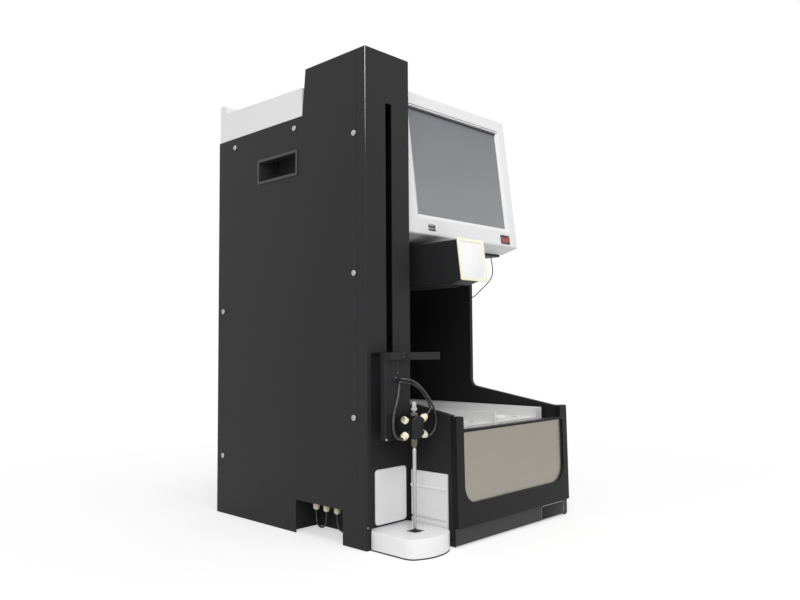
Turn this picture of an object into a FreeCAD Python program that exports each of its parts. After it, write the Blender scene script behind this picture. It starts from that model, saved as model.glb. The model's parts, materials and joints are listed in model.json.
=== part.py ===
import FreeCAD, Part
import math
import os

# Bench-top flash chromatography system, millimetres, +Z up, front towards -Y.
# Every piece is laid out from the tower's front left bottom corner (X to the right,
# Y to the back), and save() then moves it so that the origin lies on the bench
# under the middle of the whole machine.

V = FreeCAD.Vector
os.makedirs("parts", exist_ok=True)

# Whole machine
width = 360.0
tower_top = 667.0
cover_drop = 67.0
rear = 350.4
bench_gap = 0.5
sheet = 1.5
corner_bend = 2.0
air = 0.3
shaft_air = 0.05

# Tower on the left
tower_width = 84.0
tower_top_depth = 126.0
tower_rear = 133.0
flange_depth = 16.5
slot_width = 12.0
slot_x = 44.0
slot_foot = 256.0
slot_head_drop = 70.0
jamb_width = 9.0
recess_depth = 8.5

# Rack bay
bay_front = -76.6
bay_front_foot = -79.0
bay_rear = 250.0
bay_floor = 30.0
roof_gap = 1.0
roof_front = 43.0
cheek_left = 90.0
cheek_thickness = 8.0
cheek_top = 183.0
cheek_top_front = 171.5
cheek_slope_start = -3.0
cheek_slope_end = -70.0
wall_thickness = 7.0
wall_slope_front = -56.0
wall_low = 169.2
wall_high = 194.5
wall_edge = 108.6
wall_corner = 12.0
wall_margin = 9.0

# Front frame, its steel insert and the kick panel
frame_thickness = 10.0
frame_foot = 25.0
frame_sill = 152.3
frame_post_top = 170.3
left_post = 15.5
right_post = 18.0
post_round = 3.0
insert_margin = 12.6
insert_foot = 54.3
insert_top = 149.0
insert_round = 25.0
insert_thickness = 0.8
insert_set_back = 3.4
kick_front = -74.7
kick_foot = 2.5

# Display housing
display_foot_y = 10.5
display_rise = 8.8
display_tilt = 7.0
display_height = 220.0
display_wall = 5.0
housing_wall = 3.0
ceiling_thickness = 4.0
screen_left = 125.0
screen_margin = 26.5
screen_foot = 33.0
screen_head = 194.0
screen_depth = 5.0
bevel = 8.0
bevel_head = 4.5
screen_lap = 2.5
screen_thickness = 3.0
usb_left = 138.0
usb_width = 16.6
usb_foot = 6.5
usb_height = 10.5
usb_depth = 16.0
rocker_margin = 23.0
rocker_width = 21.0
rocker_foot = 5.2
rocker_height = 12.0
rocker_rim = 1.1
rocker_pin = 1.0
rocker_pin_depth = 4.0

# Top cover
cover_front = 133.5
cover_edge_front = 41.6
cover_edge_rear = 46.2
lip_front = 329.7
lip_foot = 332.8
lip_top = 61.6
lip_rear = 346.2
lip_rear_top = 59.0
cover_wall = 3.0
tray_floor = 15.0
tray_front = 140.0

# Carrying handles
handle_front = 143.5
handle_rear = 242.0
handle_drop = 47.5
handle_height = 38.0
handle_rim = 4.0
handle_proud = 1.2
handle_depth = 36.0
handle_ramp = 17.0
handle_rise = 7.0
handle_wall = 2.5

# Port recess at the foot of the left side
port_front = 46.5
port_rear = 147.0
port_head = 46.4
port_depth = 42.0
port_shelf = 48.0
port_x = 22.0
port_y = (82.5, 105.0, 127.5)
port_nut_radius = 4.4
recess_foot = 4.0
port_nut_length = 15.5
port_tube = 3.2

# Base pan and feet
pan_floor = 8.0
pan_lip = 14.0
foot_side = 24.0
bay_foot_y = -50.0
foot_inset = 34.0

# Column bay panels and drip tray
splash_left = 23.0
splash_right = 82.0
splash_foot = 27.4
splash_head = 100.3
splash_thickness = 2.0
splash_round = 5.0
side_splash_front = -62.0
side_splash_back = 1.8
side_splash_head = 94.4
side_splash_thickness = 3.0
groove_depth = 2.2
groove_z = 34.0
ridge_z = 74.0
ridge_radius = 2.0
tray_left = 7.0
tray_right = 85.5
tray_back = 8.0
tray_shoulder = -0.5
tray_corner = -67.0
tray_apex = -82.0
tray_foot = 1.5
tray_head = 27.0
tray_wall = 2.5
tray_round = 6.0
basin_floor = 2.0
drain_side = 21.0
tongue_left = 16.0
tongue_right = 76.0
tongue_front = -52.0

# Column carriage and its valve
plate_left = 18.0
plate_right = 66.0
plate_front = -17.0
plate_back = -8.0
plate_foot = 141.0
plate_head = 255.0
bar_height = 10.0
bar_front = -27.0
pivot_x = 50.2
pivot_y = -22.3
arm_length = 48.5
ear_radius = 6.5
ear_thickness = 2.0
arm_thickness = 7.0
arm_rest = 30.0
pivot_pin = 2.5
valve_x = 45.0
valve_z = 159.0
port_plane = -43.0
valve_radius = 13.0
valve_front = -47.3
hub_width = 21.0
hub_height = 30.0
hub_corner = 6.0
hub_front = -50.6
boss_radius = 4.2
boss_reach = 17.5
stem_reach = 15.0
nut_radius = 5.0
nut_reach = 26.5
nut_ports = (30, 150, 210, 330)
blank_port = 150
flange_radius = 4.7
neck_radius = 2.3
ring_radius = 4.1
barrel_radius = 3.0
luer_bore = 2.15
luer_top = 192.0
luer_seat = 10.0
needle_radius = 3.1
needle_tip = 2.2
needle_nut = 4.2
needle_clear = 0.8
hole_x = 39.5
hole_z = 219.5
hole_radius = 4.5
spare_holes = ((44.0, 242.0), (43.2, 228.6))
spare_radius = 1.6
hose = 3.2

# Lift inside the tower
screw_y = 44.0
screw_radius = 5.0
rail_y = 60.0
rail_depth = 10.0
rail_width = 16.0
slider_foot = 190.0
slider_head = 250.0
slider_width = 40.0
lift_plate_foot = 108.0
lift_head_drop = 27.0
lift_plate = 8.0
lift_plate_depth = 56.0
motor_side = 56.4
motor_length = 51.0

# Fraction collector
arm_left = 121.5
arm_width = 59.5
arm_foot = 350.0
arm_height = 62.0
arm_front = -59.6
arm_wall = 2.0
cover_lean = 7.2
cover_depth = 2.2
cover_rim = 5.0
cover_seat = 1.2
cover_foot = 4.4
cover_head = 1.6
collector_rail_rise = 22.0
collector_rail_height = 20.0
collector_rail_depth = 12.0
head_width = 30.0
head_depth = 38.0
head_height = 34.0
head_y = 168.0
head_neck = 6.0
head_tongue = 14.0
head_tongue_length = 30.0
nozzle_length = 16.0

# Racks
rack_left_x = 99.2
rack_gap = 1.5
rack_margin = 5.8
rack_front = -41.0
rack_rear = 244.0
rack_plate = 151.0
rack_rim = 165.3
rack_wall = 2.5
rack_side = 18.0
rack_plate_thickness = 3.0
well_radius = 22.5
well_depth = 4.5
well_rows = 4
well_sides = 12
well_pitch = 66.0
well_spread = 48.0
well_first = 43.5

# Rear and inner pieces
vent_margin = 40.0
vent_width = 100.0
vent_foot = 180.0
vent_pitch = 16.0
vent_height = 5.0
vent_rows = 9
fan_margin = 105.0
fan_drop = 100.0
fan_side = 92.0
fan_depth = 25.0
fan_bore = 43.0
fan_sides = 24
fan_blades = 7
fan_hub = 18.0
guard_thickness = 1.6
guard_side = 104.0
guard_slots = 4
guard_pitch = 9.0
guard_slot = 6.0
guard_rib = 6.0
inlet_x = 150.0
inlet_z = 134.0
inlet_width = 27.4
inlet_height = 19.8
inlet_depth = 24.0
inlet_flange = 48.0
inlet_flange_height = 24.0
socket_width = 23.6
socket_height = 15.8
socket_depth = 18.5
blade_pitch = 7.0
supply_margin = 20.0
supply_gap = 16.0
supply_depth = 72.0
supply_head = 112.0
supply_wall = 2.0
supply_vent_pitch = 11.0
module_gap = 8.0
pump_left = 14.0
pump_width = 62.0
pump_fronts = (168.0, 258.0)
pump_depth = 76.0
pump_base = 70.0
pump_motor_radius = 24.0
pump_motor_height = 58.0
pump_head_width = 38.0
pump_head_depth = 56.0
pump_head_height = 28.0
check_valve_radius = 7.0
check_valve_height = 16.0
detector_left = 100.0
detector_width = 116.0
detector_depth = 74.0
detector_height = 62.0
fin_count = 8
fin_pitch = 8.0
fin_depth = 26.0
cell_radius = 9.0
cell_height = 22.0
board_left = 110.0
board_margin_right = 30.0
board_foot = 130.0
board_head = 330.0
board_gap = 10.0
board_thickness = 1.6
board_margin = 8.0
collector_motor_left = 100.0
collector_motor_side = 42.0
collector_motor_length = 38.0
collector_motor_drop = 16.0

# Worked out from the above
tower_inner = tower_width - sheet
wall_inner = width - wall_thickness
side_top = tower_top - cover_drop
slot_head = tower_top - slot_head_drop
lift_plate_head = tower_top - lift_head_drop
handle_head = side_top - handle_drop
handle_foot = handle_head - handle_height
screen_right = width - screen_margin
rocker_left = width - rocker_margin - rocker_width
insert_left = cheek_left + left_post
insert_right = width - insert_margin
rack_width = (wall_inner - rack_margin - rack_left_x - rack_gap) / 2
arm_head = arm_foot + arm_height
bay_roof = arm_head + roof_gap
housing_floor = bay_roof + ceiling_thickness
display_foot_z = housing_floor + display_rise
head_foot = arm_foot - head_height
collector_rail_foot = arm_foot + collector_rail_rise
collector_rail_head = collector_rail_foot + collector_rail_height
vent_right = width - vent_margin
vent_left = vent_right - vent_width
fan_x = width - fan_margin
supply_left = detector_left + detector_width + supply_gap
supply_width = width - supply_margin - supply_left
supply_vents = int((supply_width - 20) / supply_vent_pitch)
fan_z = side_top - fan_drop
board_right = width - board_margin_right
rear_skin = rear - 2 * sheet
guard_back = rear + guard_thickness
front_most = tray_apex
origin_x = width / 2
origin_y = (front_most + guard_back) / 2
slot_left = slot_x - slot_width / 2
slot_right = slot_x + slot_width / 2


def save(name, shape):
    """Write one node, moved so that the origin is on the bench under the machine."""
    shape = shape.copy()
    shape.translate(V(-origin_x, -origin_y, 0))
    shape.exportStep("parts/" + name + ".step")


def box(x0, x1, y0, y1, z0, z1):
    return Part.makeBox(x1 - x0, y1 - y0, z1 - z0, V(x0, y0, z0))


def prism_x(points, x0, x1):
    """A closed outline of (y, z) points, extruded from x0 to x1."""
    wire = Part.makePolygon([V(x0, y, z) for y, z in points + points[:1]])
    return Part.Face(wire).extrude(V(x1 - x0, 0, 0))


def prism_y(points, y0, y1):
    """A closed outline of (x, z) points, extruded from y0 to y1."""
    wire = Part.makePolygon([V(x, y0, z) for x, z in points + points[:1]])
    return Part.Face(wire).extrude(V(0, y1 - y0, 0))


def rod(radius, start, end):
    direction = end - start
    return Part.makeCylinder(radius, direction.Length, start, direction)


def rounded(shape, radius, axis, wanted=None):
    """Fillet the straight edges that run along an axis, and that wanted(centre) accepts."""
    edges = []
    for edge in shape.Edges:
        if not isinstance(edge.Curve, Part.Line) and not isinstance(edge.Curve, Part.LineSegment):
            continue
        run = edge.Vertexes[1].Point - edge.Vertexes[0].Point
        if abs(run.normalize().dot(axis)) < 0.999:
            continue
        if wanted is None or wanted(edge.CenterOfMass):
            edges.append(edge)
    return shape.makeFillet(radius, edges)


def bevelled(shape, size, axis):
    """Chamfer the edges that run along an axis."""
    edges = [e for e in shape.Edges if abs(e.tangentAt(e.FirstParameter).dot(axis)) > 0.999]
    return shape.makeChamfer(size, edges)


def hexagon(radius, start, end, sides=6):
    """A hexagonal bar between two points, radius to its corners, or one with more sides."""
    direction = end - start
    turn = FreeCAD.Rotation(V(0, 0, 1), direction)
    corners = []
    for k in range(sides + 1):
        angle = 2 * math.pi * k / sides
        corner = V(radius * math.cos(angle), radius * math.sin(angle), 0)
        corners.append(start + turn.multVec(corner))
    return Part.Face(Part.makePolygon(corners)).extrude(direction)


def tube(name, points, diameter):
    """An eight-sided tube of short straight runs, mitred where they meet."""
    runs = [b - a for a, b in zip(points, points[1:])]
    length = sum(run.Length for run in runs)
    ends = [f for f in hexagon(diameter / 2, points[0], points[0] + runs[0], 8).Faces if len(f.Edges) == 8]
    section = min(ends, key=lambda f: f.CenterOfMass.distanceToPoint(points[0])).OuterWire
    solid = Part.makePolygon(points).makePipeShell([section], True, False, 1)
    expected = 2 * math.sqrt(2) * (diameter / 2) ** 2 * length
    print(f"{name} length {length:.0f}, volume {solid.Volume:.0f} of {expected:.0f}")
    return solid


def housing_tilt(shape):
    """Lean a shape made at the display's foot, depth along Y and height along Z."""
    shape.rotate(V(0, 0, 0), V(1, 0, 0), -display_tilt)
    shape.translate(V(0, display_foot_y, display_foot_z))
    return shape


def lofted(outline_a, outline_b):
    return Part.makeLoft([Part.makePolygon(outline_a), Part.makePolygon(outline_b)], True, True)


def ring(radius, centre, sides=16):
    """A closed outline of straight sides about an upright axis."""
    corners = [centre + V(radius * math.cos(2 * math.pi * k / sides), radius * math.sin(2 * math.pi * k / sides), 0)
               for k in range(sides)]
    return corners + corners[:1]


def rectangle_y(x0, x1, z0, z1, y):
    return [V(x0, y, z0), V(x1, y, z0), V(x1, y, z1), V(x0, y, z1), V(x0, y, z0)]


def frame_back(z):
    """How far forward the back of the leaning front frame lies at a height."""
    rise = (bay_front - bay_front_foot) / (frame_post_top - frame_foot)
    return bay_front_foot + (z - frame_foot) * rise + frame_thickness


def wall_front(top):
    """The front edge shared by the bay's two side walls: behind the kick panel, then the frame."""
    kick_back = kick_front + sheet
    foot = frame_foot - air
    return [(kick_back, bench_gap), (kick_back, foot), (frame_back(foot) + 0.1, foot), (frame_back(top) + 0.1, top)]


# Enclosure
def tower_cover():
    profile = [(0, bench_gap), (0, tower_top), (tower_top_depth, tower_top), (tower_rear, side_top),
               (tower_rear, bench_gap)]
    inner = [(sheet, 0), (sheet, tower_top - sheet), (tower_top_depth - 2 * sheet, tower_top - sheet),
             (tower_rear - sheet, side_top + 1), (tower_rear + 1, side_top), (tower_rear + 1, 0)]
    shell = prism_x(profile, 0, tower_width).cut(prism_x(inner, sheet, tower_inner))
    shell = shell.cut(box(-1, sheet, flange_depth, rear, 0, tower_top - sheet))
    back = recess_depth + sheet + air
    shell = shell.cut(box(jamb_width, tower_width + 1, -1, back, 0, slot_foot))
    shell = shell.cut(box(2 * sheet, tower_width + 1, 2 * sheet, tower_rear + 1, 0, pan_floor + sheet))
    shell = shell.cut(box(slot_left, slot_right, -1, sheet + 1, slot_foot - 1, slot_head))
    return rounded(shell, corner_bend, V(0, 0, 1), lambda c: abs(c.x) < 0.1 and abs(c.y) < 0.1)


def left_side_panel():
    start = flange_depth + air
    top = tower_top - sheet
    profile = [(start, bench_gap), (port_front, bench_gap), (port_front, port_head), (port_rear, port_head),
               (port_rear, bench_gap), (rear, bench_gap), (rear, side_top), (tower_rear, side_top),
               (tower_top_depth, top), (start, top)]
    panel = prism_x(profile, 0, sheet)
    hem = box(0, 2 * sheet + 6, rear - sheet, rear, bench_gap, side_top)
    panel = panel.fuse(hem.cut(box(sheet, 40, rear_skin, rear + 1, 0, bench_gap))).removeSplitter()
    return panel.cut(handle_opening())


def right_side_panel():
    profile = wall_front(wall_low) + [
        (wall_slope_front, wall_low), (wall_edge, wall_high + 1.2), (wall_edge, housing_floor),
        (tower_rear, housing_floor), (tower_rear, side_top), (rear, side_top), (rear, bench_gap)]
    panel = prism_x(profile, wall_inner, width)
    panel = rounded(panel, wall_corner, V(1, 0, 0),
                    lambda c: abs(c.y - wall_edge) < 2 and abs(c.z - wall_high) < 3)
    deep = wall_inner - 1
    margin = wall_margin
    panel = panel.cut(box(deep, width - sheet, bay_rear + 3, rear - sheet, bench_gap + margin, side_top - margin))
    panel = panel.cut(box(deep, width - sheet, tower_rear + margin, bay_rear + 4, housing_floor + margin,
                          side_top - margin))
    opening = handle_opening()
    opening = opening.mirror(V(width / 2, 0, 0), V(1, 0, 0))
    return panel.cut(opening)


def handle_opening():
    return box(-1, sheet + 1, handle_front + handle_rim - handle_wall, handle_rear - handle_rim + handle_wall,
               handle_foot + handle_rim - handle_wall, handle_head - handle_rim + handle_wall)


def handle_cup():
    """A recessed grip: a flat rim on the skin, and a pocket whose floor ramps up inside."""
    front, back = handle_front + handle_rim, handle_rear - handle_rim
    foot, head = handle_foot + handle_rim, handle_head - handle_rim
    rim = box(-handle_proud, 0, handle_front, handle_rear, handle_foot, handle_head)
    rim = rounded(rim, 3.0, V(1, 0, 0))
    wall = handle_wall
    outer = prism_y([(-0.5, foot - wall), (-0.5, head + wall), (sheet + 1, head + wall),
                     (handle_depth + wall, head + handle_rise + wall),
                     (handle_depth + wall, foot + handle_ramp - wall), (sheet + 1, foot - wall)],
                    front - wall, back + wall)
    inner = prism_y([(-2, foot), (-2, head), (sheet + 1, head), (handle_depth, head + handle_rise),
                     (handle_depth, foot + handle_ramp), (sheet + 1, foot)], front, back)
    return rim.fuse(outer).removeSplitter().cut(inner)


def rear_panel():
    foot, head = bench_gap + wall_margin + air, side_top - wall_margin - air
    panel = box(sheet + air, width - sheet - air, rear_skin, rear_skin + sheet, foot, head)
    bore = fan_bore + 1
    panel = panel.cut(hexagon(bore, V(fan_x, rear_skin - 1, fan_z), V(fan_x, rear, fan_z), fan_sides))
    panel = panel.cut(box(inlet_x - inlet_width / 2, inlet_x + inlet_width / 2, rear_skin - 1, rear,
                          inlet_z - inlet_height / 2, inlet_z + inlet_height / 2))
    for k in range(vent_rows):
        z = vent_foot + vent_pitch * k
        panel = panel.cut(box(vent_left, vent_right, rear_skin - 1, rear, z, z + vent_height))
    return panel


def top_cover():
    """A moulded cover with a shallow tray for bottles on top and a raised lip at the back."""
    lip = side_top + lip_top
    outline = [(cover_front, side_top), (cover_front, side_top + cover_edge_front),
               (lip_front, side_top + cover_edge_rear), (lip_foot, lip - 3), (lip_rear, lip),
               (rear, side_top + lip_rear_top), (rear, side_top)]
    cover = prism_x(outline, 0, width)
    cover = rounded(cover, 4.0, V(0, 0, 1), lambda c: c.y > rear - 1)
    wall = cover_wall
    floor = side_top + tray_floor
    hollow = box(wall, width - wall, cover_front + wall, rear - wall, side_top - 1, floor - wall)
    lip_hollow = box(wall, width - wall, lip_front + 4 + wall, rear - wall, side_top - 1, lip - 2 * wall - 1)
    tray = box(wall + 1, width - wall - 1, tray_front, lip_front, floor, tower_top)
    tray = rounded(tray, 12.0, V(0, 0, 1))
    return cover.cut(hollow).cut(lip_hollow).cut(tray)


def display_housing():
    """A leaning bezel with a bevelled screen recess, in one moulding with its box."""
    tilt = math.radians(display_tilt)
    foot = (display_foot_y, display_foot_z)
    head = (foot[0] + display_height * math.sin(tilt), foot[1] + display_height * math.cos(tilt))
    x0 = tower_width + air
    back = tower_rear - air
    outer = prism_x([foot, head, (back, head[1]), (back, housing_floor), (roof_front, housing_floor)],
                    x0, width)
    edges = [e for e in outer.Edges if e.BoundBox.YMax < head[0] + 1 and e.Length > 30]
    outer = outer.makeFillet(2.6, edges)
    wall = housing_wall
    inner_foot = (foot[0] + display_wall + 1.5, foot[1] + wall - 0.5)
    inner_head = (head[0] + display_wall + 0.6, head[1] - wall)
    inner = prism_x([inner_foot, inner_head, (back + 1, head[1] - wall), (back + 1, housing_floor + wall),
                     (roof_front + 2, housing_floor + wall)], x0 + wall, width - wall)
    shell = outer.cut(inner)
    recess = lofted(rectangle_y(screen_left - bevel, screen_right + bevel, screen_foot - bevel,
                                screen_head + bevel_head, -0.01),
                    rectangle_y(screen_left, screen_right, screen_foot, screen_head, screen_depth))
    lap = screen_lap
    seat = box(screen_left - lap, screen_right + lap, screen_depth - 1.2, 14, screen_foot - lap,
               screen_head + lap)
    window = box(screen_left, screen_right, -1, 14, screen_foot, screen_head)
    for cutter in (recess, seat.cut(box(0, width, -1, screen_depth - 1.2, 0, display_height)), window):
        shell = shell.cut(housing_tilt(cutter))
    usb = box(usb_left, usb_left + usb_width, -1, 20, usb_foot, usb_foot + usb_height)
    switch = box(rocker_left, rocker_left + rocker_width, -1, 30, rocker_foot, rocker_foot + rocker_height)
    return shell.cut(housing_tilt(usb)).cut(housing_tilt(switch))


def touch_screen():
    lap = screen_lap - 0.2
    start = screen_depth - 1.2
    glass = box(screen_left - lap, screen_right + lap, start, start + screen_thickness, screen_foot - lap,
                screen_head + lap)
    backing = box(screen_left + 4, screen_right - 4, start + screen_thickness, start + screen_thickness + 9,
                  screen_foot + 4, screen_head - 4)
    return housing_tilt(glass.fuse(backing))


def usb_ports():
    """Two stacked receptacles in one shell, each with its contact tongue."""
    gap = 0.15
    x0, x1 = usb_left + gap, usb_left + usb_width - gap
    z0, z1 = usb_foot + gap, usb_foot + usb_height - gap
    body = box(x0, x1, 0.6, usb_depth, z0, z1)
    inner_height = (z1 - z0 - 3 * 0.7) / 2
    for k in range(2):
        foot = z0 + 0.7 + k * (inner_height + 0.7)
        body = body.cut(box(x0 + 0.7, x1 - 0.7, 0, usb_depth - 2, foot, foot + inner_height))
        body = body.fuse(box(x0 + 1.6, x1 - 1.6, 2, usb_depth - 1, foot + inner_height - 1.3,
                             foot + inner_height + 0.2))
    return housing_tilt(body)


def rocker_frame():
    rim = rocker_rim
    x0, x1 = rocker_left, rocker_left + rocker_width
    z0, z1 = rocker_foot, rocker_foot + rocker_height
    lip = box(x0 - 1.2, x1 + 1.2, -0.9, 0, z0 - 1.2, z1 + 1.2)
    body = box(x0 + 0.15, x1 - 0.15, -0.5, 22, z0 + 0.15, z1 - 0.15)
    frame = lip.fuse(body).removeSplitter().cut(box(x0 + rim, x1 - rim, -2, 15, z0 + rim, z1 - rim))
    middle, depth = (x0 + x1) / 2, rocker_pin_depth
    pin = rod(rocker_pin, V(middle, depth, z0 + rim - 0.2), V(middle, depth, z1 - rim + 0.2))
    return housing_tilt(frame.fuse(pin))


def power_rocker():
    """The paddle: a shallow V face whose two ends swap places as it turns on the frame's pin."""
    side = rocker_rim + air
    z0, z1 = rocker_foot + side, rocker_foot + rocker_height - side
    middle = rocker_left + rocker_width / 2
    half = rocker_width / 2 - rocker_rim
    outline = ((-half + 0.2, -0.2), (0, 1.3), (half - 1.63, -2.4), (half - 0.8, 4), (half - 4.1, 9),
               (4.1 - half, 9), (0.8 - half, 4), (-half + 0.2, -0.2))
    face = [V(middle + x, depth, z0) for x, depth in outline]
    paddle = Part.Face(Part.makePolygon(face)).extrude(V(0, 0, z1 - z0))
    pin = rod(rocker_pin + shaft_air, V(middle, rocker_pin_depth, z0 - 1), V(middle, rocker_pin_depth, z1 + 1))
    return housing_tilt(paddle.cut(pin))


def bay_ceiling():
    plate = box(tower_width + air, wall_inner - air, roof_front, bay_rear + 8, bay_roof, housing_floor - air)
    lip = box(tower_width + air, wall_inner - air, bay_rear + 6, bay_rear + 8, bay_roof - 12, bay_roof)
    return plate.fuse(lip).removeSplitter()


def bay_liner():
    """One folded sheet: floor with a rib that stops the racks, back wall and the wall behind the tower."""
    floor = box(cheek_left + cheek_thickness + air, wall_inner - air, frame_back(bay_floor) + air, bay_rear,
                bay_floor - sheet, bay_floor)
    back = box(tower_width + air, wall_inner - air, bay_rear, bay_rear + sheet, bay_floor - sheet,
               bay_roof - air)
    side = box(tower_width + air, tower_width + air + sheet, tower_rear, bay_rear + 1, cheek_top + air,
               bay_roof - air)
    front_rib = box(rack_left_x + 6, wall_inner - 6, rack_front - 5, rack_front - 2, bay_floor - 1,
                    bay_floor + 10)
    feet = []
    for x in (cheek_left + cheek_thickness + 6, wall_inner - 18):
        for y in (bay_front + 17, bay_rear / 3, bay_rear - 30):
            feet.append(box(x, x + 12, y, y + 18, pan_floor + sheet, bay_floor - sheet + 0.1))
    return floor.multiFuse([back, side, front_rib] + feet).removeSplitter()


def bay_left_cheek():
    """The double wall at the left of the racks, its top sloping down to the front."""
    profile = wall_front(cheek_top_front) + [
        (cheek_slope_end, cheek_top_front), (cheek_slope_start, cheek_top), (bay_rear - air, cheek_top),
        (bay_rear - air, bench_gap)]
    cheek = prism_x(profile, cheek_left, cheek_left + cheek_thickness)
    filler = box(tower_width + air, cheek_left + 0.1, recess_depth + 2 * sheet + air, bay_rear - air,
                 bench_gap, cheek_top)
    cheek = cheek.fuse(filler).removeSplitter()
    cheek = cheek.cut(box(0, width, -100, rear, 0, pan_floor + sheet))
    hollow = box(tower_width + sheet + 1, cheek_left + cheek_thickness - sheet, 20, bay_rear + 1, 0,
                 cheek_top - 2 * sheet)
    return cheek.cut(hollow)


def front_frame():
    """A leaning plate with a wide U opening and a deep seat for the steel insert."""
    rise = (bay_front - bay_front_foot) / (frame_post_top - frame_foot)
    lean = math.degrees(math.atan(rise))
    height = (frame_post_top - frame_foot) * math.cos(math.radians(lean))
    plate = box(cheek_left, width, 0, frame_thickness, 0, height)
    sill = frame_sill - frame_foot
    gap = box(cheek_left + left_post, width - right_post, -1, frame_thickness + 1, sill, height + 1)
    gap = rounded(gap, 3.0, V(0, 1, 0), lambda c: c.z < sill + 1)
    plate = plate.cut(gap)
    plate = rounded(plate, post_round, V(0, 1, 0), lambda c: c.z > height - 1)
    plate = plate.cut(insert_blank(-0.01, insert_set_back + insert_thickness, 0))
    plate.rotate(V(0, 0, 0), V(1, 0, 0), -lean)
    plate.translate(V(0, bay_front_foot, frame_foot))
    return plate


def insert_blank(start, end, inset):
    """The insert's outline between two depths behind the frame's face, rounded at its foot."""
    foot = insert_foot - frame_foot + inset
    head = insert_top - frame_foot - inset
    blank = box(insert_left + inset, insert_right - inset, start, end, foot, head)
    blank = rounded(blank, insert_round, V(0, 1, 0), lambda c: c.z < foot + 1)
    return rounded(blank, 2.0, V(0, 1, 0), lambda c: c.z > head - 1)


def stainless_insert():
    rise = (bay_front - bay_front_foot) / (frame_post_top - frame_foot)
    insert = insert_blank(insert_set_back, insert_set_back + insert_thickness, 0.15)
    insert.rotate(V(0, 0, 0), V(1, 0, 0), -math.degrees(math.atan(rise)))
    insert.translate(V(0, bay_front_foot, frame_foot))
    return insert


def kick_panel():
    skin = box(cheek_left, width, kick_front, kick_front + sheet, kick_foot, frame_foot - air)
    for x in (cheek_left + cheek_thickness + air, wall_inner - air - 20):
        skin = skin.fuse(box(x, x + 20, kick_front, kick_front + 14, pan_floor + sheet, pan_floor + 2 * sheet))
    return skin.removeSplitter()


def base_pan():
    """The floor sheet with its turned-up edges, the tongue for the drip tray and the port recess."""
    main = box(sheet + air, wall_inner - air, recess_depth + 2 * sheet + air, rear_skin - air, pan_floor,
               pan_floor + sheet)
    bay = box(cheek_left + cheek_thickness + air, wall_inner - air, kick_front + sheet + air, 30, pan_floor,
              pan_floor + sheet)
    tongue = box(tongue_left, tongue_right, tongue_front, 30, pan_floor, pan_floor + sheet)
    rim = box(sheet + air, 2 * sheet + air, port_rear + 2, rear_skin - air, pan_floor, pan_floor + pan_lip)
    front_rim = box(sheet + air, 2 * sheet + air, flange_depth + 2, port_front - 2, pan_floor,
                    pan_floor + pan_lip)
    back_rim = box(sheet + air, wall_inner - air, rear_skin - sheet - air, rear_skin - air, pan_floor,
                   pan_floor + pan_lip)
    pan = main.multiFuse([bay, tongue, rim, front_rim, back_rim])
    recess = box(sheet + air, port_depth + sheet, port_front - 1.8 * sheet, port_rear + 1.8 * sheet, recess_foot,
                 port_shelf + sheet)
    hollow = box(-1, port_depth, port_front - 0.8 * sheet, port_rear + 0.8 * sheet, 0, port_shelf)
    pan = pan.fuse(recess).removeSplitter().cut(hollow)
    for y in port_y:
        pan = pan.cut(rod(2.0, V(port_x, y, port_shelf - 1), V(port_x, y, port_shelf + 4)))
    return pan


def rubber_feet():
    """Square pads with bevelled edges: four at the corners and one under the bay's left front."""
    half = foot_side / 2
    feet = []
    for x, y in ((foot_inset, foot_inset - 4), (foot_inset, rear - foot_inset), (cheek_left + 30, bay_foot_y),
                 (width - foot_inset, bay_foot_y), (width - foot_inset, rear - foot_inset)):
        pad = box(x - half, x + half, y - half, y + half, 0, pan_floor)
        feet.append(pad.makeChamfer(2.0, [e for e in pad.Edges if e.CenterOfMass.z < 1]))
    return Part.makeCompound(feet)


# Column bay
def column_bay_liner():
    back = recess_depth + sheet
    plate = prism_y([(jamb_width + air, pan_floor + 2 * sheet), (cheek_left - air, pan_floor + 2 * sheet),
                     (cheek_left - air, cheek_top), (tower_width, cheek_top), (tower_width, slot_foot - air),
                     (jamb_width + air, slot_foot - air)], recess_depth, back)
    top = box(jamb_width + air, tower_width, sheet + air, back, slot_foot - sheet - air, slot_foot - air)
    side = box(jamb_width + air, jamb_width + air + sheet, sheet + air, back, pan_floor + 2 * sheet,
               slot_foot - air)
    liner = plate.multiFuse([top, side]).removeSplitter()
    return liner.cut(box(slot_left, slot_right, -1, back + 1, slider_foot - 8, slot_foot + 1))


def rear_splash_panel():
    panel = box(splash_left, splash_right, recess_depth - splash_thickness, recess_depth, splash_foot,
                splash_head)
    panel = rounded(panel, splash_round, V(0, 1, 0))
    front = [e for e in panel.Edges if abs(e.CenterOfMass.y - recess_depth + splash_thickness) < 0.01]
    return panel.makeChamfer(0.8, front)


def side_splash_panel():
    """A moulded panel on the right wall with a drip ridge and a groove over its skirt."""
    face = cheek_left - air
    front = face - side_splash_thickness
    back = side_splash_back
    foot = pan_floor + 2 * sheet + 1
    backing = box(front + groove_depth, face, side_splash_front, back, foot, side_splash_head)
    upper = box(front, face, side_splash_front, back, groove_z, side_splash_head)
    lower = box(front, face, side_splash_front, back, foot, groove_z - 3)
    upper = rounded(upper, 1.0, V(0, 1, 0), lambda c: c.x < face - 1 and c.z > groove_z + 1)
    ridge = rod(ridge_radius, V(front, side_splash_front, ridge_z), V(front, back, ridge_z))
    return backing.multiFuse([upper, lower, ridge]).removeSplitter()


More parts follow.
